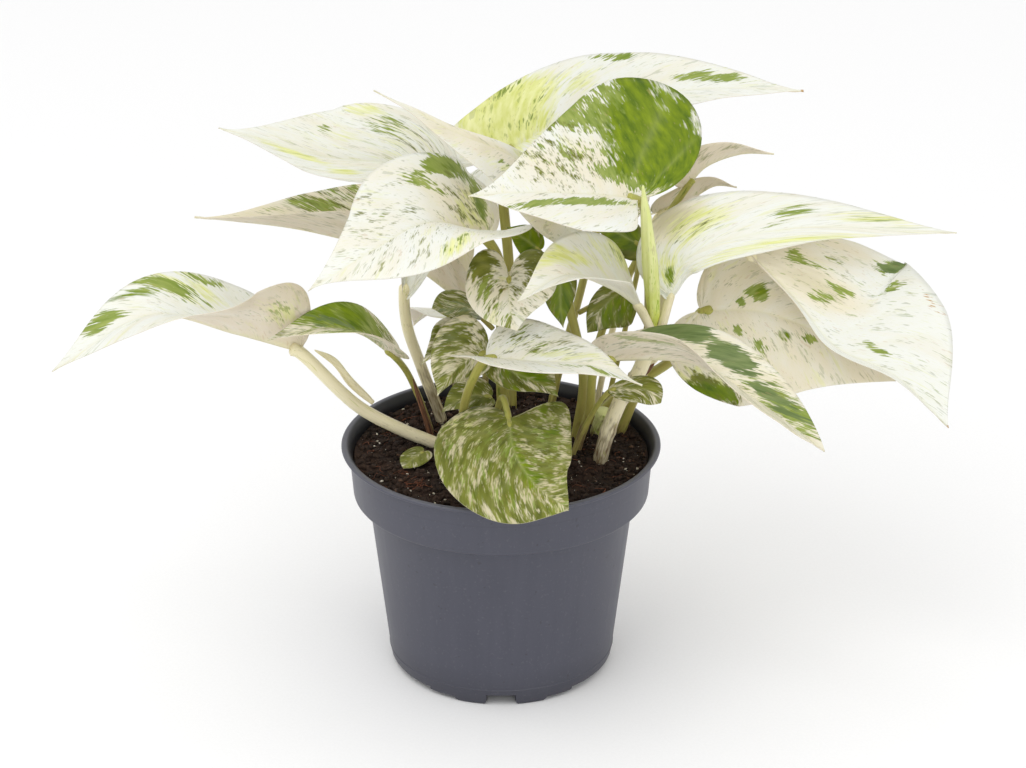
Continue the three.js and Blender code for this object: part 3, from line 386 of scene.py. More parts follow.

# %% [markdown]
# ## The leaves, one by one
# Each leaf has its midrib from base to tip, its half widths left and right, the direction its
# upper face looks at the base and the tip, and the fold of each half in degrees. Lobe is how far
# the heart reaches back, widest is where the blade is widest, and point is how blunt its tip is.
# Left and right are seen from above with the tip ahead. A joined leaf is one piece with its stalk.
# Under is how cream its underside is, and curl how far each half rolls, in degrees.
#
# Most points were placed one by one, from places in the photograph and a depth for each. Some half
# widths, widest places, folds, lobes and tips are rounded results of a search, which moved them
# until the outline met points read off the photograph: those of the upper left, crossing, front
# left, left back, centre white, over rim and centre curled leaves, and one tip each of the far left
# and the right folded leaf. It also moved the middle midrib points of the upper left and crossing
# leaves.

# %% Leaf table
LEAVES = {
    "far_left": dict(
        midrib=[[-74, -5, 130], [-97, -8, 138], [-127, -14, 147], [-163, -22, 128]],
        half=[28, 24], face=[[0, 0.2, 1], [0, -0.7, 0.8]], fold=[[85, 15], [5, 15]],
        lobe=0.03, point=[0, 0.35], stalk=2.6,
        route=[[-10, 4, 70], [-17, 2, 84], [-27, 2, 89], [-37, 3, 93], [-53, 2, 103]],
    ),
    "left_green": dict(
        midrib=[[-39, 2, 124], [-52, -4, 136], [-67, -10, 140], [-85, -16, 138]],
        half=[14, 13], face=[[0, 0, 1], [0, -0.3, 1]], fold=[[20, 25], [20, 25]],
        lobe=0.06, stalk=1.3, green_stalk=True,
        route=[[-25, 14, 62], [-26, 14, 84], [-34, 12, 110]],
    ),
    "upper_left": dict(
        midrib=[[-36, 18, 140], [-33, 26, 186], [-66, 28, 193], [-103, 20, 207]],
        half=[11.5, 21.5], face=[[0, -0.9, 0.4], [0, -0.6, 0.8]], fold=[[35, 27], [18, 18]],
        lobe=0.02, widest=[0.6, 0.5], point=[0.14, 0.04], stalk=2.3,
        route=[[-20, 24, 62], [-22, 24, 84], [-30, 22, 110], [-35, 19, 128]],
    ),
    "crossing": dict(
        midrib=[[22, 12, 183], [5, 8, 199.5], [-18, 4, 211.5], [-45, 0, 228]],
        half=[24.5, 4], face=[[0, -0.5, 0.9], [0, -0.5, 0.9]], fold=[[10, 15], [10, 10]],
        lobe=0.12, widest=[0.04, 0.15], point=[0, 0.36], stalk=1.9, green_stalk=True,
        route=[[28, 8, 62], [28, 8, 84], [31, 8, 112], [24, 8, 150]],
    ),
    "front_left": dict(
        midrib=[[-5, -8, 175], [-25, -22, 186], [-44, -38, 182], [-67, -50, 171]],
        half=[34, 31], face=[[0, -0.5, 0.9], [0, -0.6, 0.8]], fold=[[60, 10], [-25, 5]],
        lobe=[0, 0.1], widest=[0.2, 0.15], point=[0, 0.2], stalk=1.8, green_stalk=True,
        route=[[0, 2.2, 153.6], [-1, -3, 165]],
    ),
    "left_back": dict(
        midrib=[[-13, 32, 133], [-38, 40, 148], [-72, 40, 159], [-115, 34, 167]],
        half=[20, 30], face=[[0, 0.6, 0.8], [0, 0.4, 0.9]], fold=[[40, 74], [10, 70]],
        lobe=[0.05, -0.05], widest=[0.4, 0.3], point=[0.2, 0], stalk=1.8, green_stalk=True,
        route=[[-12, 34, 62], [-13, 34, 84], [-13, 33, 112]],
    ),
    "top_centre": dict(
        midrib=[[49, -14, 192], [32, -23, 197], [10, -32, 201], [-11, -38, 202]],
        half=[25, 50], face=[[0, -0.5, 0.85], [0, -0.5, 0.85]], fold=[[20, 15], [10, 10]],
        lobe=[-0.1, 0.36], widest=[0.3, -0.18], point=0.1, stalk=2, green_stalk=True,
        route=[[41, 16, 64], [45, 17, 84], [54, 13, 115], [55, 12, 150], [53, 6, 178]],
    ),
    "top_back": dict(
        midrib=[[1, 48, 187], [34, 58, 202], [75, 58, 209], [113, 48, 212]],
        half=[24, 18], face=[[0, -0.6, 0.8], [0, -0.2, 1]], fold=[[10, 10], [5, 5]],
        lobe=0.26, stalk=2, green_stalk=True,
        route=[[4, 36, 62], [4, 38, 84], [3, 46, 140]],
    ),
    "right_back": dict(
        midrib=[[69, 32, 180], [76, 34, 187], [89, 34, 192], [101, 28, 194]],
        half=[10, 12], face=[[0, 0.5, 0.85], [0, 0.3, 0.9]], fold=[[10, 30], [10, 30]],
        lobe=0.1, stalk=1.4, green_stalk=True,
        route=[[29, 34, 64], [31, 36, 84], [42, 34, 130]],
    ),
    "right_back_lower": dict(
        midrib=[[60, 42, 166], [72, 46, 170], [81, 46, 175], [89, 44, 175]],
        half=[10, 10], face=[[0, 0.5, 0.85], [0, 0.3, 0.9]], fold=[[10, 30], [10, 30]],
        lobe=0.15, stalk=1.2, joined=True,
        route=[[32, 32, 64], [36, 35, 84], [46, 42, 130]],
    ),
    "right_inner": dict(
        midrib=[[61, 18, 164], [68, 24, 167], [76, 30, 170], [86, 32, 172]],
        half=[12, 14], face=[[0, 0.8, 0.5], [0, 0.8, 0.5]], fold=[[10, 10], [10, 10]],
        lobe=0.15, stalk=1.4, joined=True,
        route=[[40, 22, 64], [46, 23, 84], [56, 24, 130]],
    ),
    "right_long": dict(
        midrib=[[62, -5, 150], [67, -3, 164], [102, 2, 174], [165, -6, 176]],
        half=[20, 8], face=[[0.2, -0.7, 0.7], [0, -0.4, 0.9]], fold=[[0, -20], [10, 0]],
        lobe=0.04, widest=[0.48, 0.6], stalk=1.6, joined=True,
        route=[[59, -8, 139.6]],
    ),
    "centre_curled": dict(
        midrib=[[51, -13, 150], [40, -24, 162], [23, -40, 173], [6, -54, 169]],
        half=[10, 23], face=[[0, 0.2, 1], [0, -0.7, 0.8]], fold=[[20, 45], [20, 10]],
        lobe=[-0.2, 0], curl=[20, 20], widest=[0.4, 0.2], stalk=1.6, joined=True, under=0.1,
        route=[[54.8, -9.6, 139.6]],
    ),
    "heart_marbled": dict(
        midrib=[[3, -18, 163], [3, -26, 159], [4, -31, 154], [6, -34, 149]],
        half=[18, 16], face=[[0, -0.8, 0.6], [0, -1, 0.2]], fold=[[20, 20], [10, 10]],
        lobe=0.6, stalk=1.3, joined=True, green_stalk=True,
        route=[[2.2, -1.4, 152.7], [4, -7, 160]],
    ),
    "centre_white": dict(
        midrib=[[-5, -32, 138], [11, -40, 140], [32, -48, 142], [50, -56, 138]],
        half=[18.5, 15.5], face=[[0, -0.2, 1], [0, -0.2, 1]], fold=[[29, 31], [-10, 5]],
        lobe=[0.02, 0.22], widest=[0.23, 0.27], point=[0, 0.2], stalk=1.6, green_stalk=True,
        route=[[-14, -8, 62], [-14, -8, 88], [-14, -11, 106], [-10, -24, 126]],
    ),
    "over_rim": dict(
        midrib=[[3, -24, 110], [5, -46, 107], [13, -66, 103], [24, -76, 99]],
        half=[22.5, 29], face=[[0, -0.2, 1], [0, -0.6, 0.8]], fold=[[16, 0], [0, 0]],
        lobe=[-0.03, 0.25], widest=[0.1, 0.4], point=[0.6, 0.5], stalk=1.2,
        joined=True, green_stalk=True,
        route=[[-3, -3, 62], [-3, -3, 84], [-1, -9, 108], [1, -17, 115]],
    ),
    "right_folded": dict(
        midrib=[[37, -18, 132], [69, -34, 137], [89, -48, 130], [115, -58, 113]],
        half=[15, 22], face=[[0, 0, 1], [0.3, -0.4, 0.9]], fold=[[45, 60], [30, 20]],
        lobe=0.08, widest=0.4, point=[0.8, 0.4], stalk=1.7, green_stalk=True,
        route=[[28, 0, 62], [28, -1, 84], [33, -3, 104], [34, -9, 122]],
    ),
    "right_cream": dict(
        midrib=[[75, 14, 137], [97, 10, 138], [120, 4, 131], [146, -6, 117]],
        half=[30, 38], face=[[0, -0.8, 0.6], [0, -0.8, 0.6]], fold=[[5, 5], [5, 5]],
        lobe=[0.05, 0.2], widest=0.3, point=0.35, stalk=2, green_stalk=True,
        route=[[33, 23, 64], [34, 23, 84], [45, 20.5, 100], [66, 15.5, 118]],
    ),
    "right_white": dict(
        midrib=[[90, 2, 166], [107, -7, 151], [122, -15, 135], [143, -26, 128], [162, -36, 112]],
        half=[44, 4], face=[[0.1, -0.6, 0.8], [-0.3, -0.6, 0.8]], fold=[[0, 30], [0, 30]],
        lobe=0.05, widest=0.55, stalk=1.8, joined=True,
        route=[[55.5, -3.6, 130], [60, 2, 146], [68, 7, 160], [80, 7, 168]],
    ),
    "inner_left": dict(
        midrib=[[-8, 2, 141], [-13, -2, 145], [-19, -6, 146], [-25, -10, 148]],
        half=[8, 8], face=[[0, -0.5, 0.9], [0, -0.5, 0.9]], fold=[[10, 10], [10, 10]],
        lobe=0.1, widest=0.5, point=0.7, stalk=1, joined=True, green_stalk=True,
        route=[[-3, 4, 134]],
    ),
    "inner_left_tip": dict(
        midrib=[[-11, -6, 135], [-17, -10, 136], [-22, -14, 134], [-29, -18, 129]],
        half=[6, 9], face=[[0, -0.5, 0.9], [0, -0.5, 0.9]], fold=[[15, 15], [10, 10]],
        lobe=0.15, stalk=1, joined=True, green_stalk=True,
        route=[[-2.2, 4.2, 124]],
    ),
    "inner_folded": dict(
        midrib=[[-6, -14, 132], [-12, -18, 131], [-18, -22, 127], [-23, -24, 119]],
        half=[8, 16], face=[[0, -0.3, 0.9], [0, -0.5, 0.9]], fold=[[-60, 60], [-60, 20]],
        lobe=0.15, stalk=1.1, joined=True, green_stalk=True,
        route=[[-2.6, 5.8, 118], [-4, -7, 128]],
    ),
    "inner_low": dict(
        midrib=[[-2, -8, 126], [5, -14, 124], [14, -19, 122], [21, -24, 119]],
        half=[14, 8], face=[[0, -0.5, 0.9], [0, -0.5, 0.9]], fold=[[15, 0], [10, 0]],
        lobe=0.15, stalk=1.1, joined=True, green_stalk=True,
        route=[[1.5, 5.6, 112]],
    ),
    "inner_strip": dict(
        midrib=[[22, 4, 158], [22, 1, 152], [22, -1, 144], [23, -3, 137]],
        half=[6, 7], face=[[0, -1, 0], [0, -1, 0]], fold=[[0, 0], [0, 0]],
        lobe=0.1, stalk=1, joined=True, green_stalk=True,
        route=[[25.9, 5.3, 150]],
    ),
    "inner_right": dict(
        midrib=[[47, 10, 148], [41, 6, 145], [36, 4, 140], [32, 2, 133]],
        half=[12, 6], face=[[0, -1, 0.2], [0, -1, 0.2]], fold=[[0, 0], [0, 0]],
        lobe=0.1, widest=0.35, point=0.5, stalk=1, joined=True, green_stalk=True,
        route=[[28.8, 9.2, 138]],
    ),
    "inner_soil": dict(
        midrib=[[-4, 2, 107], [-11, -1, 109], [-17, -3, 107], [-22, -5, 104]],
        half=[6, 8], face=[[0, -0.5, 0.9], [0, -0.5, 0.9]], fold=[[10, 10], [10, 10]],
        lobe=0.1, stalk=1, joined=True, green_stalk=True,
        route=[[-9, 8, 62], [-9, 8, 84], [-7, 5, 100]],
    ),
    "inner_top": dict(
        midrib=[[52, 24, 159], [45, 22, 164], [39, 20, 168], [32, 18, 170]],
        half=[9, 9], face=[[0, -0.6, 0.9], [0, -0.6, 0.9]], fold=[[0, 0], [0, 0]],
        lobe=0.1, stalk=1, joined=True, green_stalk=True,
        route=[[37, 25, 64], [39, 26, 84], [48, 26, 130]],
    ),
    "inner_tip": dict(
        midrib=[[14, 10, 163], [10, 8, 167], [6, 5, 171], [2, 2, 175]],
        half=[6, 6], face=[[0, -0.8, 0.6], [0, -0.8, 0.6]], fold=[[0, 0], [0, 0]],
        lobe=0.1, stalk=0.9, joined=True, green_stalk=True,
        route=[[21, 9.5, 152]],
    ),
    "right_small": dict(
        midrib=[[40, -22, 121], [46, -26, 123], [53, -30, 124], [58, -32, 120]],
        half=[6, 6], face=[[0, -0.6, 0.9], [0, -0.6, 0.9]], fold=[[0, 0], [0, 0]],
        lobe=0.1, widest=0.55, point=0.9, stalk=1, joined=True, green_stalk=True,
        route=[[25, -6, 64], [26, -7, 84], [33, -10, 104]],
    ),
    "seedling": dict(
        midrib=[[-29, -10, 90], [-32, -14, 89.5], [-34, -17, 89], [-36, -20, 88]],
        half=[5, 5], face=[[0, -0.3, 0.9], [0, -0.3, 0.9]], fold=[[0, 0], [0, 0]],
        lobe=0.2, point=0.8, stalk=0.8, joined=True, green_stalk=True,
        route=[[-24, -3, 74], [-26, -6, 86]],
    ),
    "back_left": dict(
        midrib=[[-18, 46, 122], [-24, 54, 121], [-30, 63, 116], [-35, 73, 106]],
        half=[13, 13], face=[[0, 0, 1], [0, 0.3, 1]], fold=[[10, 10], [10, 10]],
        lobe=0.15, stalk=1.4, joined=True,
        route=[[-16, 36, 62], [-17, 37, 84], [-18, 40, 108]],
    ),
    "back_centre": dict(
        midrib=[[37, 50, 158], [42, 58, 163], [46, 66, 165], [50, 75, 163]],
        half=[17, 17], face=[[0, 0, 1], [0, 0.3, 1]], fold=[[10, 10], [10, 10]],
        lobe=0.15, stalk=1.5, joined=True, green_stalk=True,
        route=[[18, 38, 62], [19, 39, 84], [30, 45, 130]],
    ),
    "back_right": dict(
        midrib=[[87, 38, 134], [97, 49, 131], [107, 61, 125], [116, 74, 116]],
        half=[18, 18], face=[[0, 0, 1], [0.2, 0.2, 1]], fold=[[10, 10], [10, 10]],
        lobe=0.15, stalk=1.5, joined=True,
        route=[[34, 29, 66], [41, 30.5, 86], [65, 33, 116]],
    ),
    "back_low": dict(
        midrib=[[-6, 48, 99], [-6, 56, 102], [-6, 66, 99], [-6, 76, 89]],
        half=[18, 18], face=[[0, 0, 1], [0, 0.6, 0.8]], fold=[[0, 0], [0, 0]],
        lobe=0.1, stalk=1.3, joined=True, green_stalk=True,
        route=[[-7, 38, 62], [-7, 39, 84]],
    ),
}
print(len(LEAVES), "leaves")

# %% [markdown]
# ## Where the green is
# A white leaf has few green cells and a green leaf has few white ones, and no two are alike. For
# each leaf the table below gives an even share of each green over the blade, and patches: the
# pigment, the place in millimetres from the base along the midrib and across it (left is
# positive), the two half sizes, a turn in degrees and the share at the middle.

# %% Patches
def marks(patches=(), **even):
    """The even share of each pigment over a leaf, and its patches."""
    return dict(even, patches=list(patches))


MARKS = {
    "far_left": marks(
        [
            ("green", 60, -12, 13, 4, -12, 0.8), ("lime", 54, -15, 15, 6, -12, 0.7),
            ("green", 81, -6, 9, 3, -15, 0.9), ("green", 47, -19, 8, 2.5, 10, 0.6),
            ("lime", 14, 13, 9, 7, 0, 0.8), ("vivid", 70, -9, 9, 2, -12, 0.5),
            ("green", 17, 15, 6, 5, 0, 0.55), ("olive", 24, 14, 12, 8, 0, 0.2),
        ],
        green=0.05, lime=0.05, cream=0.15,
    ),
    "left_green": marks(
        [
            ("green", 26, -7, 20, 9, -8, 1.2), ("vivid", 26, -7, 16, 7, -8, 0.8),
            ("green", 25, 8, 18, 5, 0, 0.7), ("lime", 30, 9, 20, 5, 0, 0.6),
            ("dark", 30, -3, 16, 3, 0, 0.7),
        ],
        green=0.36, olive=0.3, lime=0.2, cream=0.8,
    ),
    "upper_left": marks(
        [
            ("green", 58, -14, 9, 4, 0, 0.5), ("lime", 67, -19, 8, 2.4, 0, 0.9),
            ("lime", 92, 2.5, 14, 1.6, -6, 1.0), ("lime", 72, 7, 7, 1.6, 0, 0.95),
            ("green", 83, -10, 4, 2, 0, 0.5), ("olive", 44, -12, 14, 7, 0, 0.3),
            ("lime", 66, -8, 24, 10, 0, 0.25),
        ],
        green=0.05, olive=0.05, lime=0.06, cream=0.2,
    ),
    "crossing": marks(
        [
            ("lime", 20, -2, 7, 3, 0, 0.95), ("olive", 22, -2, 4, 2, 0, 0.5),
            ("cream", 8, 15, 14, 12, 0, 1.2), ("cream", 45, 2, 30, 6, 0, 1.0),
            ("lime", 30, 8, 12, 3, 0, 0.5), ("green", 34, 6, 8, 1.6, 0, 0.5),
        ],
        green=0.03, olive=0.05, lime=0.08, cream=0.4,
    ),
    "front_left": marks(
        [
            ("green", 14, -26, 9, 4.5, 10, 1.1), ("vivid", 8, -25, 9, 4, 12, 0.6),
            ("green", 0, -18, 4, 9, 0, 0.95), ("vivid", 0, -10, 2.5, 8, 5, 0.8),
            ("green", 24, -18, 5, 2.5, -30, 0.8), ("green", 18, -13, 3, 1.6, -30, 0.7),
            ("lime", 4, -10, 9, 12, 0, 0.7), ("olive", 8, -12, 12, 12, 0, 0.42),
            ("lime", 33, 22, 9, 4.5, 0, 0.95), ("green", 33, 22, 7, 3, 0, 0.5),
            ("olive", 42, -2, 24, 22, 0, 0.27), ("green", 40, -10, 4, 1.6, 20, 0.55),
            ("cream", 8, -8, 22, 16, 0, 0.9),
        ],
        green=0.04, olive=0.05, lime=0.03, cream=0.2,
    ),
    "left_back": marks(
        [
            ("green", 72, -11, 11, 3.5, 0, 0.75), ("olive", 64, -16, 24, 10, 0, 0.42),
            ("green", 60, -20, 14, 4, 0, 0.5), ("olive", 60, 10, 30, 8, 0, 0.3),
        ],
        green=0.1, olive=0.14, cream=1.0, lime=0.05,
    ),
    "top_centre": marks(
        [
            ("vivid", -14, -26, 22, 24, 0, 1.3), ("green", -8, -30, 26, 24, 0, 0.75),
            ("green", 26, -34, 13, 6, 25, 1.1), ("green", 2, -8, 20, 4.5, -10, 0.85),
            ("green", 10, -42, 20, 4, 20, 0.8), ("green", 30, 6, 24, 2.6, 3, 0.95),
            ("olive", 30, -14, 16, 14, 0, 0.42), ("cream", 10, -10, 34, 14, 0, 0.9),
            ("green", 12, -34, 16, 9, 15, 0.8), ("green", 24, -20, 18, 10, 20, 0.4),
        ],
        green=0.06, olive=0.08, lime=0.07, cream=0.35,
    ),
    "top_back": marks(
        [
            ("lime", 10, 14, 19, 15, 0, 1.5), ("green", 14, 22, 14, 2, 10, 0.55),
            ("vivid", 6, 12, 10, 8, 10, 0.16), ("lime", 34, 12, 14, 9, 0, 0.5),
            ("green", 52, 20, 6, 2, -6, 0.9), ("green", 82, 6, 13, 3, -6, 0.7),
            ("green", 16, 8, 10, 2, 30, 0.45), ("dry_and_shade", 119, 0, 1.6, 1.2, 0, 0.8),
        ],
        green=0.05, lime=0.05, cream=0.15,
    ),
    "right_back": marks([("green", 22, 6, 18, 4, 0, 0.8), ("olive", 20, -5, 14, 4, 0, 0.4)],
                        green=0.1, cream=0.3),
    "right_back_lower": marks([("olive", 14, 4, 12, 4, 0, 0.5)], green=0.2, cream=1.0),
    "right_inner": marks([("green", 8, 0, 12, 6, 0, 0.3)], green=0.05, cream=0.9),
    "right_long": marks(
        [
            ("lime", 51, 10, 13, 6, 8, 0.85), ("olive", 49, 9, 12, 4, 8, 0.3),
            ("lime", 99, 4, 10, 2.8, -4, 0.7), ("green", 80, 6, 7, 3, 30, 0.62),
            ("lime", 24, 4, 14, 6, 0, 0.7), ("vivid", 16, 2, 12, 2.0, 4, 0.75),
            ("lime", 75, -5, 40, 1.8, 0, 0.75), ("green", 99, 4, 6, 1.6, 0, 0.4),
            ("cream", 44, 15, 10, 6, 0, 1.6),
        ],
        green=0.03, lime=0.05, cream=0.15,
    ),
    "centre_curled": marks(
        [
            ("lime", 6, -19, 13, 5, 0, 1.2), ("vivid", 6, -20, 10, 2.5, 0, 0.6),
            ("lime", 42, -8, 13, 3.5, 0, 0.95), ("lime", 20, -15, 14, 5, 10, 0.5),
        ],
        green=0.02, lime=0.07, cream=0.3,
    ),
    "heart_marbled": marks(
        [
            ("olive", -8, 12, 12, 9, 0, 1.05), ("olive", -6, 11, 10, 7, 0, 0.9),
            ("olive", -6, -12, 11, 8, 0, 1.0), ("green", 2, -9, 9, 5, 0, 0.6),
            ("green", 12, -3, 8, 4, 0, 0.4),
        ],
        green=0.12, olive=0.34, lime=0.1, cream=0.6,
    ),
    "centre_white": marks(
        [
            ("olive", 19, 8, 16, 7, 0, 0.34), ("green", 26, 7, 12, 3, 0, 0.4),
            ("green", 42, -3, 11, 1.6, 0, 0.75), ("green", 8, 9, 8, 4, 30, 0.4),
            ("lime", 34, 4, 12, 3, 0, 0.6),
        ],
        green=0.06, olive=0.1, lime=0.06, cream=0.3,
    ),
    # The over rim leaf's tan ground is partly its own colour and partly painted shade from the
    # leaves above it.
    "over_rim": marks(
        [
            ("green", 18, 11, 11, 5, 10, 0.85), ("green", 24, -3, 16, 2.6, 4, 0.9),
            ("green", 12, -9, 14, 2.4, -30, 0.85), ("vivid", 20, -4, 12, 2, 0, 0.6),
            ("green", 34, 6, 10, 3, 10, 0.7), ("olive", 20, -16, 16, 6, -20, 0.55),
            ("cream", 44, 4, 16, 12, 0, 2.0), ("lime", 6, -16, 10, 8, 0, 0.5),
            ("olive", 4, 0, 12, 14, 0, 0.9), ("vivid", 8, 14, 12, 5, 10, 0.5),
            ("vivid", 24, 0, 22, 4, 0, 0.7),
        ],
        green=0.38, olive=0.72, vivid=0.14, lime=0.15, cream=1.9,
    ),
    "right_folded": marks(
        [
            ("dark", 23, 12, 13, 4.5, 0, 1.3), ("dark", 46, 8, 12, 4.2, 0, 1.3),
            ("dark", 73, 4, 14, 3.2, 0, 0.85), ("dark", 6, 5, 8, 4, 0, 1.1),
            ("green", 75, 4, 17, 4.5, 0, 0.8), ("green", 20, -14, 12, 1.6, 0, 0.9),
            ("olive", 30, -8, 26, 9, 0, 0.35),
        ],
        green=0.16, olive=0.2, cream=0.9,
    ),
    "right_cream": marks(
        [
            ("green", 23, 7, 4, 3.4, 0, 1.1), ("vivid", 24, 7, 3, 3, 0, 0.7),
            ("green", 17, 3, 2.2, 1.4, 0, 0.9), ("green", 16, -8, 4, 2, -30, 0.85),
            ("vivid", 38, -6, 4.5, 2.4, 0, 0.9), ("green", 30, -13, 5, 2.4, -20, 0.85),
            ("green", 48, -4, 2.6, 1.6, 0, 0.85), ("vivid", 8, -33, 13, 4, -10, 0.95),
            ("olive", 6, -31, 18, 7, -10, 0.8), ("lime", 4, -24, 16, 10, 0, 0.5),
        ],
        green=0.03, olive=0.08, lime=0.1, cream=0.85,
    ),
    "right_white": marks(
        [
            ("dark", 42, 40, 9, 2.6, 39, 1.3), ("green", 44, 41, 11, 3.5, 39, 0.85),
            ("green", 14, 12, 4.5, 3, 0, 0.75), ("green", 31, 8, 5, 2.5, 30, 0.85),
            ("green", 34, 16, 5, 2.5, 30, 0.8), ("green", 56, 32, 7, 2.5, 40, 0.75),
            ("green", 64, 6, 5, 1.6, -10, 0.95), ("green", 24, 18, 6, 4, 30, 0.5),
            ("cream", 20, 8, 28, 10, 20, 1.2), ("cream", 16, 24, 20, 14, 20, 0.7),
            ("dry_and_shade", 70, 33, 5, 0.8, -45, 0.6), ("dry_and_shade", 100, 0, 1.6, 1.4, 0, 1.0),
        ],
        green=0.05, olive=0.05,
    ),
    # The inner leaves, deep in the plant, get dense olive and vivid greens on a tan ground: partly
    # their own colour and partly painted shade from the leaves above them.
    "inner_left": marks([("dark", 8, 0, 12, 6, 0, 0.5)], olive=0.8, green=0.3, cream=1.3),
    "inner_left_tip": marks([("olive", 10, -4, 12, 5, 0, 0.8)], olive=0.6, cream=1.4),
    "inner_folded": marks([("olive", 12, -9, 13, 6, 0, 0.8)], olive=0.6, lime=0.2, cream=1.5),
    "inner_low": marks([("vivid", 12, 5, 14, 8, 0, 0.9)], olive=0.8, vivid=0.25, cream=1.4),
    "inner_strip": marks([("vivid", 10, 0, 12, 4, 0, 1.2)], olive=1.0, vivid=0.4, cream=1.4),
    "inner_right": marks([("vivid", 9, 5, 9, 6, 0, 0.7)], olive=0.8, green=0.4, cream=1.4),
    "inner_soil": marks([("olive", 9, 0, 10, 5, 0, 1.1)], olive=0.85, cream=1.4),
    "inner_top": marks([("vivid", 10, 0, 12, 6, 0, 1.1)], olive=1.0, cream=1.4),
    "inner_tip": marks([("vivid", 8, 0, 10, 6, 0, 1.2)], olive=1.0, cream=1.4),
    "right_small": marks([("olive", 12, 2, 12, 4, 0, 0.9)], olive=0.75, cream=1.3),
    "seedling": marks([("olive", 5, 0, 6, 4, 0, 0.9)], olive=0.9, lime=0.3, cream=1.3),
    "back_left": marks([("green", 18, -6, 12, 5, 0, 0.6)], green=0.1, lime=0.06),
    "back_centre": marks([("dark", 10, 8, 12, 6, 0, 0.7)], green=0.4, olive=0.3, cream=0.6),
    "back_right": marks([("green", 24, 8, 14, 5, 0, 0.6)], green=0.09, lime=0.09),
    "back_low": marks([("dark", 12, -8, 14, 6, 0, 0.6)], green=0.4, olive=0.3, cream=0.8),
}
print(sum(len(marks["patches"]) for marks in MARKS.values()), "patches")

# %% [markdown]
# ## A blade
# The blade is laid out flat first: two Bezier curves give the margin of the heart, and each side
# vein runs from the midrib to its own place on the margin. Then it is bent over the midrib, with
# each half at its fold. A real blade isn't smooth: the midrib is a groove above and a ridge
# below, the side veins are sunk, the tissue between them is slightly puffed, and the margin
# waves. Modelled, all that catches the light from any side, which a bump map can't do at the rim.

# %% Blade shape
JOINT = 0.45  # where the two margin curves meet
FAN = 0.3  # the side veins before this share of the margin all start at the base


def margin(tau, leaf, half):
    """The margin of one half (0 left, 1 right), as shares of the length and of the half width."""
    values = (leaf.get("widest", 0.27), leaf["lobe"], leaf.get("point", 0.2))
    widest, lobe, point = (value[half] if isinstance(value, list) else value for value in values)
    rest = 1 - widest
    turn = (widest - 0.27 - 0.9 * lobe, 1)
    back = bezier((0, 0), (-1.5 * lobe, 0.12), turn, (widest, 1), np.clip(tau / JOINT, 0, 1))
    shares = np.clip((tau - JOINT) / (1 - JOINT), 0, 1)
    pull, aim = (widest + 0.45 * rest, 1), (widest + 0.72 * rest, point)
    front = bezier((widest, 1), pull, aim, (1, 0), shares)
    return np.where((tau < JOINT)[:, None], back, front)


def flat_place(leaf, tau, out, side):
    """Along the midrib and away from it, in millimetres, on the blade laid flat."""
    edge = np.where((side == 0)[:, None], margin(tau, leaf, 0), margin(tau, leaf, 1))
    root = (np.maximum(tau - FAN, 0) / (1 - FAN)) ** 1.15
    along = root + (edge[:, 0] - root) * out
    return along, edge[:, 1] * out * np.array(leaf["half"], float)[side]


def bent(leaf, along, away, side, height):
    """Bends flat places over the midrib curve."""
    t = np.clip(along, 0, 1)
    centre = through(leaf["midrib"], t)
    forward = heading(leaf["midrib"], t)
    face = [np.array(leaf["face"][k], float) for k in (0, 1)]
    face = face[0] * (1 - t[:, None]) + face[1] * t[:, None]
    up = unit(face - forward * (face * forward).sum(1, keepdims=True))
    outward = np.cross(up, forward) * np.where(side == 0, 1, -1)[:, None]
    centre = centre + forward * (np.minimum(along, 0) * length_of(leaf["midrib"]))[:, None]
    folds = np.radians(leaf["fold"])
    fold, other = (folds[0][s] * (1 - t) + folds[1][s] * t for s in (side, 1 - side))
    bend = np.radians(leaf.get("curl", [0, 0]))[side] / np.array(leaf["half"], float)[side]
    turn = fold + bend * away
    flat = np.abs(bend) < 1e-6
    safe = np.where(flat, 1, bend)
    sideways = np.where(flat, away * np.cos(fold), (np.sin(turn) - np.sin(fold)) / safe)
    upwards = np.where(flat, away * np.sin(fold), (np.cos(fold) - np.cos(turn)) / safe)
    # Close to the midrib the two halves pass into each other in a rounded channel.
    near = np.exp(-away / 0.8)
    lean = turn * (1 - near) + (fold - other) / 2 * near
    rise = upwards + height * np.cos(lean)
    return centre + outward * (sideways - height * np.sin(lean))[:, None] + up * rise[:, None]


leaf, one, nought = LEAVES["front_left"], np.ones(1), np.zeros(1, int)
tip = bent(leaf, *flat_place(leaf, one, nought, nought), nought, 0)
print("front left leaf: its tip is at", np.round(tip[0], 1), "mm")

# %% [markdown]
# The grid of a blade runs along the side veins, so a row of faces is a strip between two veins.
# It is finer near the midrib. The upper and lower faces are 0.5 mm apart, thinning to 0.2 mm at
# the margin.


# %% Painting and relief of a blade
VEIN_PITCH = 9  # millimetres between two side veins
FULL_SIZE = 60  # a leaf this long or longer has the full relief, a shorter one less


def painted(marks, along, across):
    """The painted share of each pigment at places in millimetres on a flat blade."""
    paint = {key: np.full(along.shape, marks.get(key, 0.0)) for key in PAINTS}
    for key, x, y, long, wide, turn, share in marks["patches"]:
        c, s = math.cos(math.radians(turn)), math.sin(math.radians(turn))
        dx, dy = along - x, across - y
        far = np.hypot((dx * c + dy * s) / long, (dy * c - dx * s) / wide)
        paint[key] = np.maximum(paint[key], share * np.clip(1.5 - far, 0, 1))
    return paint


def near_vein(tau, side, long):
    """1 on each side vein, 0 halfway between two."""
    count = max(5, round(long / VEIN_PITCH))
    return 0.5 + 0.5 * np.cos(2 * np.pi * (tau * count + 0.3 * side))


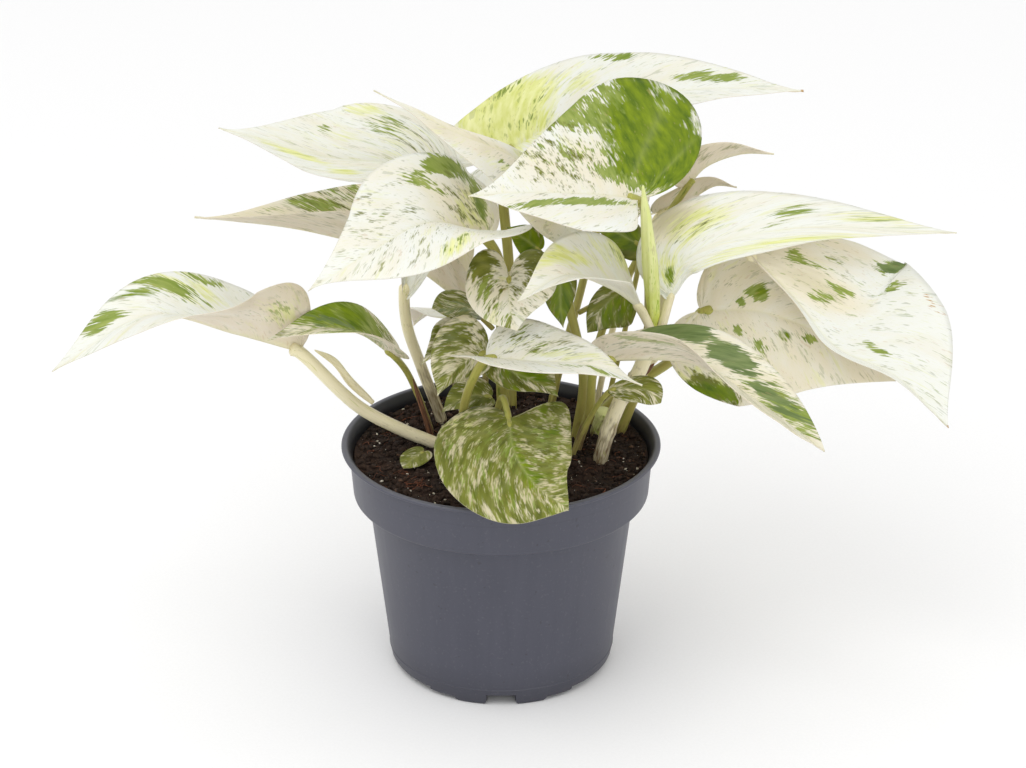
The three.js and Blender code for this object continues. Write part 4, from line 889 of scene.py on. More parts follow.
def relief_of(tau, out, side, along, away, long, number):
    """How far the tissue stands above a smooth blade, in millimetres, for a leaf of full size."""
    x, y = along * long, np.where(side == 0, away, -away)
    veins = -0.3 * np.sin(np.pi * np.clip(out, 0, 1)) ** 0.7 * near_vein(tau, side, long) ** 3
    puffs = 0.45 * waves(x, y, 11, 3 * number) * out
    midrib = -0.35 * np.exp(-((away / 0.8) ** 2)) * (1 - 0.6 * np.clip(along, 0, 1))
    ends = np.sin(np.pi * np.clip(tau, 0, 1)) ** 0.5
    ruffle = out**3 * ends * waves(tau * long, 40.0 * side, 15, 3 * number + 1)
    return veins + puffs + midrib + ruffle


print("side veins every", VEIN_PITCH, "mm")

# %% Map of the veins
LEAN = 0.8  # marbling leans from the side veins towards the tip, by this much per millimetre


def vein_map(leaf, taus, number):
    """For both halves: where each vein starts, measured over the veins, and how long it is."""
    long = length_of(leaf["midrib"])
    starts, lengths = [], []
    for half in (0, 1):
        side = np.full(taus.shape, half)
        root, middle, edge = (
            flat_place(leaf, taus, np.full(taus.shape, out), side) for out in (0.0, 0.55, 1.0)
        )
        steps = np.hypot(np.diff(middle[0]) * long, np.diff(middle[1]))
        # Each half of each leaf has a stretch of the noise of its own.
        starts.append(np.concatenate([[0], np.cumsum(steps)]) + 400 * half + 37.0 * number)
        lengths.append(np.hypot((edge[0] - root[0]) * long, edge[1]))
    return np.stack(starts), np.stack(lengths)


def grid_map(leaf, taus, steps, number):
    """The map of a blade's quads: v along each vein from the midrib, u across the veins."""
    half = len(steps) // 2
    i, j = np.divmod(np.arange((len(taus) - 1) * 2 * half), 2 * half)
    side = (j < half).astype(int)[:, None]
    row, column = np.stack([i, i + 1, i + 1, i], 1), np.stack([j, j, j + 1, j + 1], 1)
    starts, lengths = vein_map(leaf, taus, number)
    v = lengths[side, row] * np.abs(steps)[column]
    return np.stack([starts[side, row] - LEAN * v, v], 2)


lengths = vein_map(leaf, np.linspace(0, 1, 30), 1)[1]
print("front left leaf: its longest side vein is", round(lengths.max()), "mm")

# %% Blade mesh


def blade(name, leaf, number):
    """The bit of one leaf blade: its upper skin, its underside and the rim between them."""
    long = length_of(leaf["midrib"])
    rows = int(np.clip(long * 0.95, 24, 100))
    half = int(np.clip(max(leaf["half"]) * 0.8, 8, 24))
    taus, steps = np.linspace(0, 1, rows + 1), np.linspace(-1, 1, 2 * half + 1)
    steps = np.sign(steps) * np.abs(steps) ** 1.25
    tau, across = (grid.ravel() for grid in np.meshgrid(taus, steps, indexing="ij"))
    out, side = np.abs(across), (across < 0).astype(int)
    along, away = flat_place(leaf, tau, out, side)
    size = min(1.0, long / FULL_SIZE)
    relief = size * relief_of(tau, out, side, along, away, long, number)
    thick = (0.5 - 0.3 * out**4) * (0.6 + 0.4 * size)
    # Below, the stalk runs on as a ridge that dies out towards the tip.
    ridge = leaf["stalk"] * 0.42 * (1 - np.clip(along, 0, 1)) ** 1.2 + 0.1
    keel = ridge * np.exp(-((away / (0.9 * ridge + 0.35)) ** 2)) * (along > -1e-6)
    upper = bent(leaf, along, away, side, relief + thick / 2)
    lower = bent(leaf, along, away, side, relief - thick / 2 - keel)
    above = painted(MARKS[name], along * long, np.where(side == 0, away, -away))
    midrib = 0.7 * np.exp(-((away / 0.55) ** 2)) * (1 - 0.5 * np.clip(along, 0, 1))
    veins = np.sin(np.pi * np.clip(out, 0, 1)) ** 0.7 * near_vein(tau, side, long) ** 12
    above["rib"] = np.maximum(midrib, 0.28 * veins)
    below = dict(above, rib=np.exp(-((away / (0.8 * ridge + 0.3)) ** 2)))
    below["cream"] = np.full(len(tau), leaf.get("under", 0.9))
    # The rim joins the two skins along both margins. At the base and the tip, where a row of
    # points shrinks to less than a millimetre, they stay unjoined.
    count, total = len(steps), len(tau)
    near = np.arange(rows) * count
    left = np.stack([near, near + count, near + count + total, near + total], 1) + count - 1
    right = np.stack([near + total, near + count + total, near + count, near], 1)
    quads = net(rows + 1, count, columns_round=False)[:, FLIP]
    flat = grid_map(leaf, taus, steps, number)
    return dict(
        points=np.vstack([upper, lower]),
        faces=np.vstack([quads, quads[:, FLIP] + total, left, right]),
        map=np.concatenate([flat, flat[:, FLIP], np.zeros((2 * rows, 4, 2))]),
        paint={key: np.concatenate([above[key], below[key]]) for key in PAINTS},
        skins=[upper_skin, under_skin],
        which=np.repeat([0, 1], [len(quads), len(quads) + 2 * rows]),
    )


bit = blade("front_left", leaf, 1)
print("front left blade:", len(bit["faces"]), "faces")

# %% [markdown]
# ## Stalks and stems
# A leaf stalk is a smooth rod with a shallow channel on its upper side, and low down the channel
# has thin wings, the remains of the sheath. It runs on under the blade as the midrib's ridge.
# A stem is rounder, with a ring at each node where an old leaf has dropped. Both are swept: a
# closed outline is carried along the curve in frames that turn no more than they must.


# %% Sweep
def swept(route, outline, steps, skin, paint=None, up=(0, 0, 1)):
    """A closed outline carried along the curve through the route, with its ends closed.

    The outline is a function of the share of the way: it gives places sideways and up."""
    share = np.linspace(0, 1, steps + 1)
    centre, forward = through(route, share), heading(route, share)
    rises = [unit(np.array(up, float) - forward[0] * np.dot(up, forward[0]))]
    for f in forward[1:]:
        rises.append(unit(rises[-1] - f * np.dot(rises[-1], f)))
    rises = np.array(rises)
    sideways = np.cross(rises, forward)
    loops = np.array([outline(s) for s in share])
    sides = loops.shape[1]
    points = centre[:, None] + sideways[:, None] * loops[..., :1] + rises[:, None] * loops[..., 1:]
    points = np.vstack([points.reshape(-1, 3), centre[:1], centre[-1:]])
    # The map: u round the outline and v along the route, both in millimetres.
    middle = loops[steps // 2]
    around = np.linalg.norm(middle - np.roll(middle, 1, axis=0), axis=1).sum()
    k, ring = np.divmod(np.arange(steps * sides), sides)
    u = np.stack([ring, ring + 1, ring + 1, ring], 1) * around / sides
    v = np.stack([share[k], share[k], share[k + 1], share[k + 1]], 1) * length_of(route)
    flat = np.vstack([np.stack([u, v], 2).reshape(-1, 2), np.zeros((6 * sides, 2))])
    foot, head, last = len(points) - 2, len(points) - 1, steps * sides
    faces = net(steps + 1, sides).tolist()
    faces += [(foot, (k + 1) % sides, k) for k in range(sides)]
    faces += [(head, last + k, last + (k + 1) % sides) for k in range(sides)]
    along = np.concatenate([np.repeat(share, sides), [0, 1]])
    values = {key: value(along) for key, value in (paint or {}).items()}
    return bit_of(points, faces, skin, map=flat, paint=values)


def round_outline(radius, sides=14, channel=0.0, wings=0.0):
    """A circle with a channel on its upper side and a wing on each side of the channel."""
    angle = 2 * np.pi * np.arange(sides) / sides + np.pi / 2
    off = np.abs((angle - np.pi / 2 + np.pi) % (2 * np.pi) - np.pi)
    size = radius * (1 - channel * np.exp(-((off / 0.5) ** 2)))
    size = size + radius * wings * np.exp(-(((off - 0.75) / 0.22) ** 2))
    return np.stack([size * np.cos(angle), size * np.sin(angle)], 1)


print("a stalk's outline has", len(round_outline(1.0)), "corners")

# %% Leaf stalk
SOIL_TOP = 86  # the height of the soil's surface, in millimetres
STAIN_AND_SHADE_REACH = 16  # a stalk is brown up to this far above it


# The brown low on stalks and stems is partly a stain and partly painted shade near the soil.
def stained_and_shaded(route):
    """How brown a stalk is along its route: most at the soil's surface, and then less and less."""
    long, buried = length_of(route), SOIL_TOP - route[0][2]
    return lambda along: 0.75 * np.clip(1 - (along * long - buried) / STAIN_AND_SHADE_REACH, 0, 1)


def stalk_route(leaf):
    """The stalk's route up to its blade, and on under the midrib for a short way."""
    long = length_of(leaf["midrib"])
    ahead = np.array([0, min(5.0, 0.12 * long) / long])
    sunk = -np.array([0.55, 0.3]) * leaf["stalk"]
    under = bent(leaf, ahead, np.zeros(2), np.zeros(2, int), sunk)
    return [*leaf["route"], *under.tolist()]


def stalk(leaf):
    """A leaf's stalk: a little thicker just below the blade, and winged low down."""
    route, long = stalk_route(leaf), length_of(stalk_route(leaf))

    def outline(share):
        left = (1 - share) * long  # millimetres to the blade
        size = leaf["stalk"] * (1.0 + 0.12 * np.exp(-(((left - 7) / 5) ** 2)))
        size *= 0.35 + 0.65 * min(1.0, left / 5) ** 0.5
        wings = 0.12 * np.clip((0.75 - share) * 6, 0, 1)
        return round_outline(size, channel=0.22, wings=wings)

    skin = green_stalk if leaf.get("green_stalk") else cream_stalk
    paint = {"rise": lambda a: a, "dry_and_shade": stained_and_shaded(route), "green": lambda a: 0.05 + 0.2 * a**3}
    return swept(route, outline, int(np.clip(long / 1.6, 12, 90)), skin, paint)


long = length_of(stalk_route(LEAVES["far_left"]))
print("stalk of the far left leaf:", round(long, 1), "mm")

# %% Blades and stalks of all leaves
for number, (name, leaf) in enumerate(LEAVES.items()):
    bits = [blade(name, leaf, number)]
    if leaf.get("joined"):
        bits.append(stalk(leaf))
    else:
        piece("stalk_" + name, "petiole_" + name, [stalk(leaf)])
    piece("blade_" + name, "leaf_" + name, bits)
print("leaves made:", len(LEAVES))

# %% [markdown]
# ## Stems and sheaths
# The stems that the leaves grow from are rods too, with a ring every 14 mm or so and a brown
# stain at each ring. The cut stub is lime green with a flat end. A sheath is a strip of thin
# paper that half wraps its stalk: the same sweep, with a curved strip for its outline.

# %% Stems
STEMS = {
    "vine_main": (
        2.8, cream_stalk, [[36, -6, 56], [37, -9, 86], [44, -9, 110], [51, -8, 122], [56, -8, 138]],
    ),
    "vine_centre": (2.1, green_stalk, [[1, 15, 56], [1, 14, 84], [0, 8, 120], [1, 0, 152]]),
    "vine_stub": (2.8, lime_skin, [[36, 14, 64], [36, 13, 84], [39, 9, 98]]),
}
RING_PITCH = 14  # millimetres between the rings


def stem(radius, skin, route):
    long = length_of(route)

    def ring(along):
        from_ring = (along * long + 3) % RING_PITCH - RING_PITCH / 2
        return np.exp(-(from_ring**2) / 1.4)

    def outline(share):
        return round_outline(radius * (1 + 0.14 * float(ring(share))), sides=20, channel=0.06)

    # Brown at the rings is a stain; brown low down is partly a stain and partly painted shade.
    low = stained_and_shaded(route)
    paint = {
        "rise": lambda a: a,
        "dry_and_shade": lambda a: np.maximum(0.55 * ring(a), low(a)),
        "green": lambda a: 0.15 + 0 * a,
    }
    return swept(route, outline, int(long / 0.9), skin, paint)


for node, (radius, skin, route) in STEMS.items():
    made = piece("stem_" + node, node, [stem(radius, skin, route)])
    print(made.name, round(length_of(route), 1), "mm long,", 2 * radius, "mm thick")

# %% Sheaths
SHEATHS = {
    "sheath_far_left": (
        1.5, cream_stalk, [[-48, 5, 103.2], [-56, 4, 112], [-62, 3, 121], [-69, 0, 127]],
    ),
    "sheath_left_brown": (1.1, dry_sheath, [[-24, 9, 78], [-29, 10, 96], [-33, 7.5, 112]]),
    "sheath_right_brown": (1.2, dry_sheath, [[50, 10.6, 108], [53, 10.2, 112], [57.5, 10.5, 117]]),
}


def sheath(radius, skin, route):
    """A half round strip of paper, pointed at its ends, whose hollow side looks back."""

    def outline(share):
        size = radius * (0.12 + 0.95 * math.sin(math.pi * min(1, 0.12 + 0.88 * share)) ** 0.8)
        angle = np.linspace(-0.2, math.pi + 0.2, 9)
        wave = 1 + 0.12 * np.sin(9 * share + 2 * angle)
        outer = np.stack([size * wave * np.cos(angle), 0.8 * size * wave * np.sin(angle)], 1)
        inner = outer[::-1] * (1 - 0.25 / max(size, 0.5))
        return np.vstack([outer, inner])

    return swept(route, outline, 40, skin, {"rise": lambda a: a}, up=(0, -1, 0.3))


for node, (radius, skin, route) in SHEATHS.items():
    made = piece("strip_" + node, node, [sheath(radius, skin, route)])
    print(made.name, round(length_of(route), 1), "mm long")

# %% [markdown]
# ## The rolled new leaf
# A new leaf comes out of its sheath rolled up lengthwise, a pale lime spindle that ends in a soft
# point. Its outline is a spiral: the outer layer ends in a free edge that winds slowly round, so
# the sweep's outline is a circle with one small step.

# %% Rolled leaf
ROLLED_ROUTE = [[56.4, -5.4, 139.3], [54.4, -10.2, 160], [50.5, -20, 199]]
ROLLED_RADIUS = 3.4
# Shares of the way, and the radius there as a share of the full one.
ROLLED_SHAPE = [0, 0.12, 0.35, 0.6, 0.85, 1], [0.55, 0.75, 0.95, 1, 0.62, 0.12]


def rolled_outline(share):
    angle = np.linspace(0, 2 * np.pi, 28, endpoint=False)
    size = ROLLED_RADIUS * np.interp(share, *ROLLED_SHAPE) * (1 - 0.24 * angle / (2 * np.pi))
    turn = angle + 1.2 * share - 2.0
    return np.stack([size * np.cos(turn), size * np.sin(turn)], 1)


paint = {"rise": lambda a: np.clip(a * 1.6 - 0.1, 0, 1), "green": lambda a: 0.25 - 0.2 * a}
rolled = swept(ROLLED_ROUTE, rolled_outline, 60, lime_skin, paint)
piece("rolled_leaf", "leaf_new_rolled", [rolled])
print("rolled leaf:", round(length_of(ROLLED_ROUTE), 1), "mm long")

# %% [markdown]
# ## The pot
# A nursery pot is injection moulded polypropylene: slate grey, satin, a wall of 1.2 mm. Flow of
# the melt leaves faint upright streaks, and handling leaves small scuffs. The wall is a turned
# profile with rounded corners: a rolled rim, a band, a step below it, a tapered body and a foot
# ring, whose lower edge is cut away in places so that water can run out. The floor has six drain
# holes.

# %% Pot plastic
pot_plastic, tree = material("moulded polypropylene slate grey")
place = add(tree, "ShaderNodeTexCoord", out=3)  # object coordinates, in metres
upright = add(tree, "ShaderNodeVectorMath", {0: place, 1: (1, 1, 0.03)}, operation="MULTIPLY")
# Flow streaks are 2 to 4 mm wide and as tall as the pot.
flow = add(tree, "ShaderNodeTexNoise", {"Vector": upright, "Scale": 260.0, "Detail": 3.0})
cloud = add(tree, "ShaderNodeTexNoise", {"Vector": place, "Scale": 22.0, "Detail": 3.0})
dust = add(tree, "ShaderNodeTexNoise", {"Vector": place, "Scale": 900.0, "Detail": 2.0})
speck = add(tree, "ShaderNodeTexNoise", {"Vector": place, "Scale": 420.0, "Detail": 1.0})
height = add(tree, "ShaderNodeSeparateXYZ", {0: place}, 2)
mixed = add(tree, "ShaderNodeMix", {0: 0.45, 2: flow, 3: cloud}, data_type="FLOAT")
colour = blended(tree, leveled(tree, mixed, 0.3, 0.7), "#40414D", "#484955")
# Painted highlight along the top of the rim: a thin lighter line where its rounded edge catches the
# light.
stain_and_painted_light = leveled(tree, height, 0.0893, 0.0899, 0, 0.3)
colour = blended(tree, stain_and_painted_light, colour, "#73757D")
# Painted shade low down, next to the foot, where the wall meets the floor: the colour is darker
# towards the bottom.
colour = blended(tree, leveled(tree, height, 0.0, 0.016, 0.45, 0), colour, "#29282E")
# Painted shade inside, above the soil: the inner wall is darker within 58 mm of the axis and more
# than 81 mm up. The outer side of the band lies there too, so it is taken off again.
level = add(tree, "ShaderNodeVectorMath", {0: place, 1: (1, 1, 0)}, operation="MULTIPLY")
radius = add(tree, "ShaderNodeVectorMath", {0: level}, 1, operation="LENGTH")
within = leveled(tree, radius, 0.0582, 0.0574)
high = leveled(tree, height, 0.080, 0.082)
inside = add(tree, "ShaderNodeMath", {0: within, 1: high}, operation="MULTIPLY")
outside = leveled(tree, height, 0.0876, 0.0872)
beyond = leveled(tree, radius, 0.0562, 0.0566)
outer = add(tree, "ShaderNodeMath", {0: beyond, 1: outside}, operation="MULTIPLY")
inside = add(tree, "ShaderNodeMath", {0: inside, 1: outer}, operation="SUBTRACT")
colour = blended(tree, leveled(tree, speck, 0.72, 0.76, 0, 0.35), colour, "#2B2724")
colour = blended(tree, leveled(tree, dust, 0.6, 0.75, 0, 0.1), colour, "#8A8A8C")
# The painted shade of the inner wall goes on here.
colour = blended(tree, inside, colour, "#26272D")
rough = leveled(tree, mixed, 0.35, 0.65, 0.4, 0.5)
bump = add(tree, "ShaderNodeBump", {"Strength": 0.15, "Distance": 0.1 * MM, "Height": dust})
finished(tree, {"Base Color": colour, "Roughness": rough, "IOR": 1.49, "Normal": bump})
print("pot:", pot_plastic.name)

# %% Pot profile
# Corners of the wall's profile as [radius, height, rounding], from inside the foot ring, out and
# up to the rim, and back down inside. All in millimetres.
FLOOR = 4.6
WALL = [
    [38.6, 4.6, 0], [38.6, 0, 0.5], [41.8, 0, 0.9], [42.7, 4.6, 0.3], [42.9, 6.3, 0.1],
    [43.2, 6.6, 0.1], [43.0, 7.0, 0.1], [50.0, 68, 1.2], [55.6, 70, 1.2], [57.0, 87.6, 0.8],
    [59.5, 88.6, 0.35], [60.0, 89.3, 0.35], [59.5, 90, 0.35], [57.7, 90, 0.8], [55.9, 87.4, 1.5],
    [54.4, 71.5, 1.0], [48.8, 69, 1.2], [41.5, 7, 0.8], [40.0, 6, 0.5], [37.4, 6, 0],
]


def rounded(corners, steps=4):
    """A profile with its corners rounded, each by its own radius."""
    made = []
    for k, (r, z, radius) in enumerate(corners):
        here = np.array([r, z], float)
        if radius == 0 or k in (0, len(corners) - 1):
            made.append(here)
            continue
        before = np.array(corners[k - 1][:2], float) - here
        after = np.array(corners[k + 1][:2], float) - here
        reach = min(radius, 0.45 * np.linalg.norm(before), 0.45 * np.linalg.norm(after))
        a, b = here + unit(before) * reach, here + unit(after) * reach
        for t in np.linspace(0, 1, steps):
            made.append(a * (1 - t) ** 2 + 2 * here * t * (1 - t) + b * t**2)
    return np.array(made)


profile = rounded(WALL)
print("pot profile:", len(profile), "points")

# %% Foot ring
FOOT_GAPS = 3  # open gaps round the foot, each between two feet
FOOT_REPEAT = 360 / FOOT_GAPS
# Round from a gap, the ring's lower edge is raised in steps: [from, to, height].
FOOT_STEPS = [[0, 7.6, 4.6], [24, 40, 1.3], [39, 61, 2.6]]
FOOT_MIDDLE = 40  # the radius between the ring's inner and outer side
FOOT_SLOPE = 0.9 / 4.6  # the outer side leans out by this much for each millimetre up
BESIDE_EDGE = (-1.2, -0.6, -0.25, 0, 0.25, 0.6, 1.2)  # the extra points at an edge, in degrees


def foot_height(degrees):
    """How high the foot ring's lower edge is at an angle round the pot."""
    off = np.abs((degrees + 90 + FOOT_REPEAT / 2) % FOOT_REPEAT - FOOT_REPEAT / 2)
    high = np.zeros_like(off)
    for start, stop, raised in FOOT_STEPS:
        edge = np.minimum(np.inf if start == 0 else off - start, stop - off)
        # Each foot has rounded lower corners, about 1 mm.
        high = np.maximum(high, raised * np.clip(edge / 0.5 + 0.5, 0, 1))
        near = np.clip(1 - np.maximum(-edge, 0) / 1.6, 0, 1)
        high = np.maximum(high, np.where(edge < 0, 0.9 * near**2, 0))
    return high


edges = [edge for start, stop, _ in FOOT_STEPS for edge in (start, stop)]
extra = [
    (-90 + FOOT_REPEAT * gap + way * (edge + beside)) % 360
    for gap in range(FOOT_GAPS) for way in (-1, 1) for edge in edges for beside in BESIDE_EDGE
]
angles = np.unique(np.round(np.concatenate([np.arange(0, 360, 1.5), extra]), 3))
lift = foot_height(angles)
print("foot ring: raised by up to", lift.max(), "mm in", FOOT_GAPS, "gaps")

# %% Pot wall
rings, turns = [], np.radians(angles)
for r, z in profile:
    if z < FLOOR:
        height_of = lift + z * (FLOOR - lift) / FLOOR
        radius_of = r + (height_of - z) * (FOOT_SLOPE if r > FOOT_MIDDLE else 0)
    else:
        height_of, radius_of = np.full_like(angles, z), np.full_like(angles, r)
    rings.append(np.stack([radius_of * np.cos(turns), radius_of * np.sin(turns), height_of], 1))
faces = net(len(rings), len(angles), rows_round=True)
wall = bit_of(np.vstack(rings), faces, pot_plastic)
print("pot wall:", len(rings), "rings of", len(angles), "points")

# %% Pot floor
HOLES, HOLE_RADIUS, HOLE_RING = 6, 3.2, 27.0  # the drain holes, and the circle they lie on
HOLE_CORNERS = 48
CELL = 8  # each hole's cell reaches this far in and out from that circle
FLOOR_TOP, FLOOR_EDGE = 6.0, 40.2  # the edge lies inside the wall


def floor_plate():
    """A disc with drain holes: cells with a hole between an inner disc and an outer ring.

    They meet edge to edge in one plane and share no points."""
    points, faces = [], []

    def strip(inner, outer):
        """A band of faces between two equal rows of [x, y], above and below."""
        count, first = len(inner), len(points)
        for z in (FLOOR, FLOOR_TOP):
            points.extend([*p, z] for p in inner)
            points.extend([*p, z] for p in outer)
        for k in range(count):
            a, b = k, (k + 1) % count
            low = [first + a, first + b, first + count + b, first + count + a]
            faces.append(low)
            faces.append([v + 2 * count for v in reversed(low)])
        return first, count

    # Round each hole: from its circle out to a cell between two rings and two rays.
    half = 180 / HOLES
    for number in range(HOLES):
        centre = math.radians(half + 2 * half * number)
        c, s = math.cos(centre), math.sin(centre)
        cell, circle = [], []
        for k in range(HOLE_CORNERS):
            turn = 2 * math.pi * k / HOLE_CORNERS
            x, y = math.cos(turn), math.sin(turn)
            stretch = 1 / max(abs(x), abs(y))
            r, a = HOLE_RING + CELL * x * stretch, centre + math.radians(half) * y * stretch
            cell.append([r * math.cos(a), r * math.sin(a)])
            hx, hy = HOLE_RING + HOLE_RADIUS * x, HOLE_RADIUS * y
            circle.append([hx * c - hy * s, hx * s + hy * c])
        first, count = strip(circle, cell)
        for k in range(count):  # the hole's own wall
            a, b = first + k, first + (k + 1) % count
            faces.append([a, a + 2 * count, b + 2 * count, b])
    turns = np.radians(np.arange(0, 360, 2.5))
    reaches = (0.01, 1.6), (1.6, HOLE_RING - CELL), (HOLE_RING + CELL, FLOOR_EDGE)
    for pair in reaches:
        strip(*([[r * math.cos(t), r * math.sin(t)] for t in turns] for r in pair))
    return bit_of(points, faces, pot_plastic)


pot = piece("nursery_pot", "pot", [wall, floor_plate()])
pot.data.set_sharp_from_angle(angle=math.radians(38))
print("pot box in mm:", [round(1000 * v) for v in pot.dimensions])

# %% [markdown]
# ## The soil
# Potting soil is moist peat: nearly black brown, matt and crumbly, with pale perlite grains and
# reddish fibres of coir and root. Its surface is a disc with uneven hills, and on it lie lumps of
# a millimetre or two, so that its grain is real relief and not a picture. The grains are placed
# by a seeded generator, so they are the same on every run.

# %% Soil materials
peat, tree = material("moist peat")
place = add(tree, "ShaderNodeTexCoord", out=3)
sockets = {"Vector": place, "Scale": 700.0, "Detail": 5.0, "Roughness": 0.65}
crumbs = add(tree, "ShaderNodeTexNoise", sockets)
patches = add(tree, "ShaderNodeTexNoise", {"Vector": place, "Scale": 90.0, "Detail": 3.0})
colour = blended(tree, leveled(tree, crumbs, 0.35, 0.65), "#150F0C", "#3A2B22")
colour = blended(tree, leveled(tree, patches, 0.45, 0.7, 0, 0.35), colour, "#4A3226")
bump = add(tree, "ShaderNodeBump", {"Strength": 0.8, "Distance": 0.4 * MM, "Height": crumbs})
finished(tree, {"Base Color": colour, "Roughness": 0.93, "Specular IOR Level": 0.3, "Normal": bump})


def grain_skin(name, one, other, rough):
    """The skin of small matt grains in two colours."""
    made, tree = material(name)
    place = add(tree, "ShaderNodeTexCoord", out=3)
    spots = add(tree, "ShaderNodeTexNoise", {"Vector": place, "Scale": 1200.0, "Detail": 3.0})
    colour = blended(tree, leveled(tree, spots, 0.4, 0.6), one, other)
    finished(tree, {"Base Color": colour, "Roughness": rough})
    return made


perlite = grain_skin("perlite grains", "#E9E4D6", "#B9AE98", 0.85)
coir = grain_skin("coir and root fibres", "#7A4428", "#4A2A1B", 0.8)
bark = grain_skin("bark chips", "#5E4330", "#2E1E16", 0.85)
print("soil:", peat.name, perlite.name, coir.name, bark.name)

# %% Soil body
SOIL_CROWN, SOIL_EDGE = 2.0, 55.2  # how much higher the middle is, and the surface's radius
# Below its surface the soil follows the pot's inside: [radius, height].
SOIL_SIDE = [[54.0, 74], [53.8, 72], [48.3, 69.4], [41.1, 7.5], [39.6, 6.3], [0.02, 6.3]]
TURNS = np.linspace(0, 2 * np.pi, 320, endpoint=False)


def soil_height(x, y):
    """The height of the soil's surface, in millimetres."""
    r = np.hypot(x, y)
    hills = 0.9 * waves(x, y, 13, 901) + 0.7 * waves(x, y, 4.5, 902) + 0.45 * waves(x, y, 1.6, 903)
    hills = hills * np.clip((SOIL_EDGE - r) / 5, 0.35, 1)
    return SOIL_TOP - 0.8 + SOIL_CROWN * (1 - (r / SOIL_EDGE) ** 2) + hills


def soil_ring(r, z=None):
    """A ring of points on the soil's surface, or at a height of its own."""
    x, y = r * np.cos(TURNS), r * np.sin(TURNS)
    return np.stack([x, y, soil_height(x, y) if z is None else np.full(TURNS.shape, z)], 1)


surface = [soil_ring(r) for r in np.linspace(0.02, 1, 90) ** 0.8 * SOIL_EDGE]
rings = surface + [soil_ring(r, z) for r, z in SOIL_SIDE]
body = bit_of(np.vstack(rings), net(len(rings), len(TURNS))[:, FLIP], peat)
low, high = surface[-1][:, 2].min(), surface[0][:, 2].max()
print("soil surface from", round(low, 1), "to", round(high, 1), "mm")

# %% Lumps
draw = np.random.default_rng(77)
SOIL_REACH = 54  # nothing lies further from the axis, in millimetres
GOLDEN = (1 + 5**0.5) / 2
# An icosahedron of radius 1: its 12 corners lie on three golden rectangles.
BALL = unit(np.array([[1, GOLDEN, 0], [-1, GOLDEN, 0], [1, -GOLDEN, 0], [-1, -GOLDEN, 0]]))
BALL = np.vstack([BALL, BALL[:, [2, 0, 1]], BALL[:, [1, 2, 0]]])


def ball_faces(longest=1.2):
    """The icosahedron's triangles: all corners that lie an edge, 1.05, from each other."""
    found = []
    for a, b, c in combinations(range(len(BALL)), 3):
        sides = [np.linalg.norm(BALL[p] - BALL[q]) for p, q in ((a, b), (b, c), (a, c))]
        if max(sides) < longest:
            normal = np.cross(BALL[b] - BALL[a], BALL[c] - BALL[a])
            found.append([a, b, c] if np.dot(normal, BALL[a]) > 0 else [a, c, b])
    return np.array(found)


BALL_FACES = ball_faces()


def lumps(count, small, large, skin, sink=0.2, flat=0.75):
    """Rough little lumps on the soil."""
    points, faces = [], []
    for k in range(count):
        r, turn = SOIL_REACH * math.sqrt(draw.uniform(0, 1)), draw.uniform(0, 2 * math.pi)
        x, y = r * math.cos(turn), r * math.sin(turn)
        size = small + (large - small) * draw.uniform(0, 1) ** 3
        rough = 1 + 0.28 * draw.normal(size=(len(BALL), 1)).clip(-1.5, 1.5)
        shape = BALL * rough * draw.uniform(0.6, 1.2, 3)
        shape[:, 2] *= flat
        c, s = math.cos(turn * 7), math.sin(turn * 7)
        shape = shape @ np.array([[c, s, 0], [-s, c, 0], [0, 0, 1]])
        z = float(soil_height(np.array(x), np.array(y)))
        points.append(shape * size / 2 + [x, y, z + size * (0.35 - sink)])
        faces.append(BALL_FACES + len(BALL) * k)
    return bit_of(np.vstack(points), np.vstack(faces), skin)


bits = [body]
bits.append(lumps(4200, 0.7, 3.2, peat))
bits.append(lumps(260, 0.8, 3.2, bark, flat=0.45))
bits.append(lumps(380, 0.3, 1.4, perlite, sink=0.05))
print("a lump has", len(BALL_FACES), "faces")


# %% Fibres
def fibre(x, y, long, thick, turn):
    """A bent fibre that lies on the soil, with its ends in it."""
    steps = np.linspace(-0.5, 0.5, 5)
    side = draw.uniform(-0.25, 0.25, 5) * long
    px = x + steps * long * math.cos(turn) - side * math.sin(turn)
    py = y + steps * long * math.sin(turn) + side * math.cos(turn)
    reach = np.hypot(px, py)
    px, py = px * np.minimum(1, SOIL_REACH / reach), py * np.minimum(1, SOIL_REACH / reach)
    pz = soil_height(px, py) + np.array([-0.2, 0.5, 0.7, 0.5, -0.2]) * draw.uniform(0.6, 1.6)

    def outline(share):
        taper = math.sin(math.pi * min(0.97, share + 0.03))
        return round_outline(thick * (0.35 + 0.65 * taper), 5)

    return swept(np.stack([px, py, pz], 1), outline, 10, coir)


for _ in range(110):
    r, turn = 53 * math.sqrt(draw.uniform(0, 1)), draw.uniform(0, 2 * math.pi)
    x, y = r * math.cos(turn), r * math.sin(turn)
    long, thick, turn = draw.uniform(3, 11), draw.uniform(0.08, 0.2), draw.uniform(0, math.pi)
    bits.append(fibre(x, y, long, thick, turn))
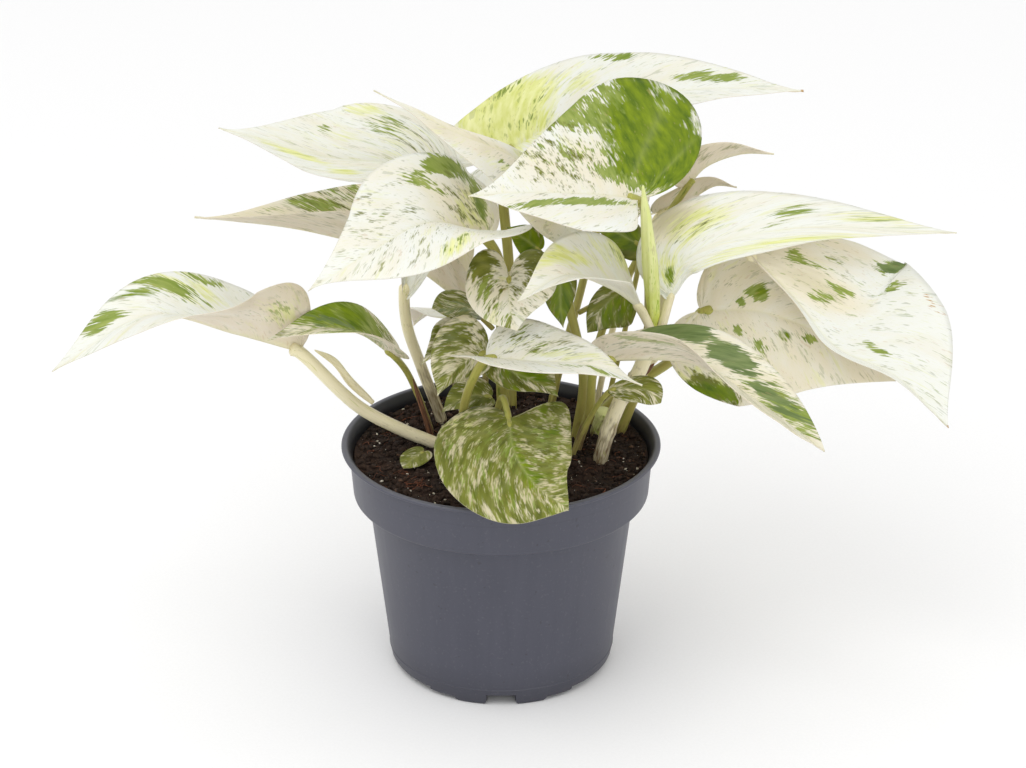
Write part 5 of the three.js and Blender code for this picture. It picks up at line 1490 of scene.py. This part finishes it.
# A tuft of coir lies by the seedling.
for _ in range(14):
    x, y = -31 + draw.uniform(-4, 4), -30 + draw.uniform(-4, 4)
    long, turn = draw.uniform(5, 9), draw.uniform(0, math.pi)
    bits.append(fibre(x, y, long, 0.14, turn))
soil = piece("potting_soil", "soil", bits)
print("soil:", len(soil.data.polygons), "faces")

# %% [markdown]
# ## Floor and light
# The photograph has a plain white ground and light from all round, like a light tent, a little
# brighter from above and from the left. A pale floor that curves up behind isn't needed: the
# world is nearly white. Two large soft lamps, one above on the left and one low in front, give
# the leaves their gentle shading.

# %% Floor, world and lamps
paper, tree = material("white backdrop paper")
place = add(tree, "ShaderNodeTexCoord", out=3)
fibres = add(tree, "ShaderNodeTexNoise", {"Vector": place, "Scale": 900.0, "Detail": 4.0})
colour = blended(tree, leveled(tree, fibres, 0.4, 0.6), "#F9F9F9", "#FBFBFB")
finished(tree, {"Base Color": colour, "Roughness": 0.9})
mesh = bpy.data.meshes.new("floor")
w = 6.0  # half the floor's width, in metres
mesh.from_pydata([(-w, -w, 0), (w, -w, 0), (w, w, 0), (-w, w, 0)], [], [(0, 1, 2, 3)])
mesh.materials.append(paper)
floor = bpy.data.objects.new("floor", mesh)
bpy.context.scene.collection.objects.link(floor)

world = bpy.data.worlds.new("light tent")
bpy.context.scene.world = world
world.use_nodes = True
world.node_tree.nodes["Background"].inputs["Color"].default_value = (1.0, 1.0, 1.0, 1.0)
world.node_tree.nodes["Background"].inputs["Strength"].default_value = 0.95


def lamp(name, place, aim, size, power):
    """A square soft lamp at a place, turned towards its aim."""
    data = bpy.data.lights.new(name, "AREA")
    data.size, data.energy = size, power
    made = bpy.data.objects.new(name, data)
    bpy.context.scene.collection.objects.link(made)
    made.location = place
    away = np.array(place, float) - np.array(aim, float)
    tilt, turn = math.acos(away[2] / np.linalg.norm(away)), math.atan2(away[1], away[0])
    made.rotation_euler = (tilt, 0, turn + math.pi / 2)


PLANT = (0, 0, 0.12)  # the middle of the plant, in metres
lamp("softbox_above", (-0.45, -0.6, 1.3), PLANT, 0.9, 4.5)
lamp("softbox_front", (0.5, -1.4, 0.5), PLANT, 0.8, 2.5)
bpy.context.scene.view_settings.view_transform = "Standard"
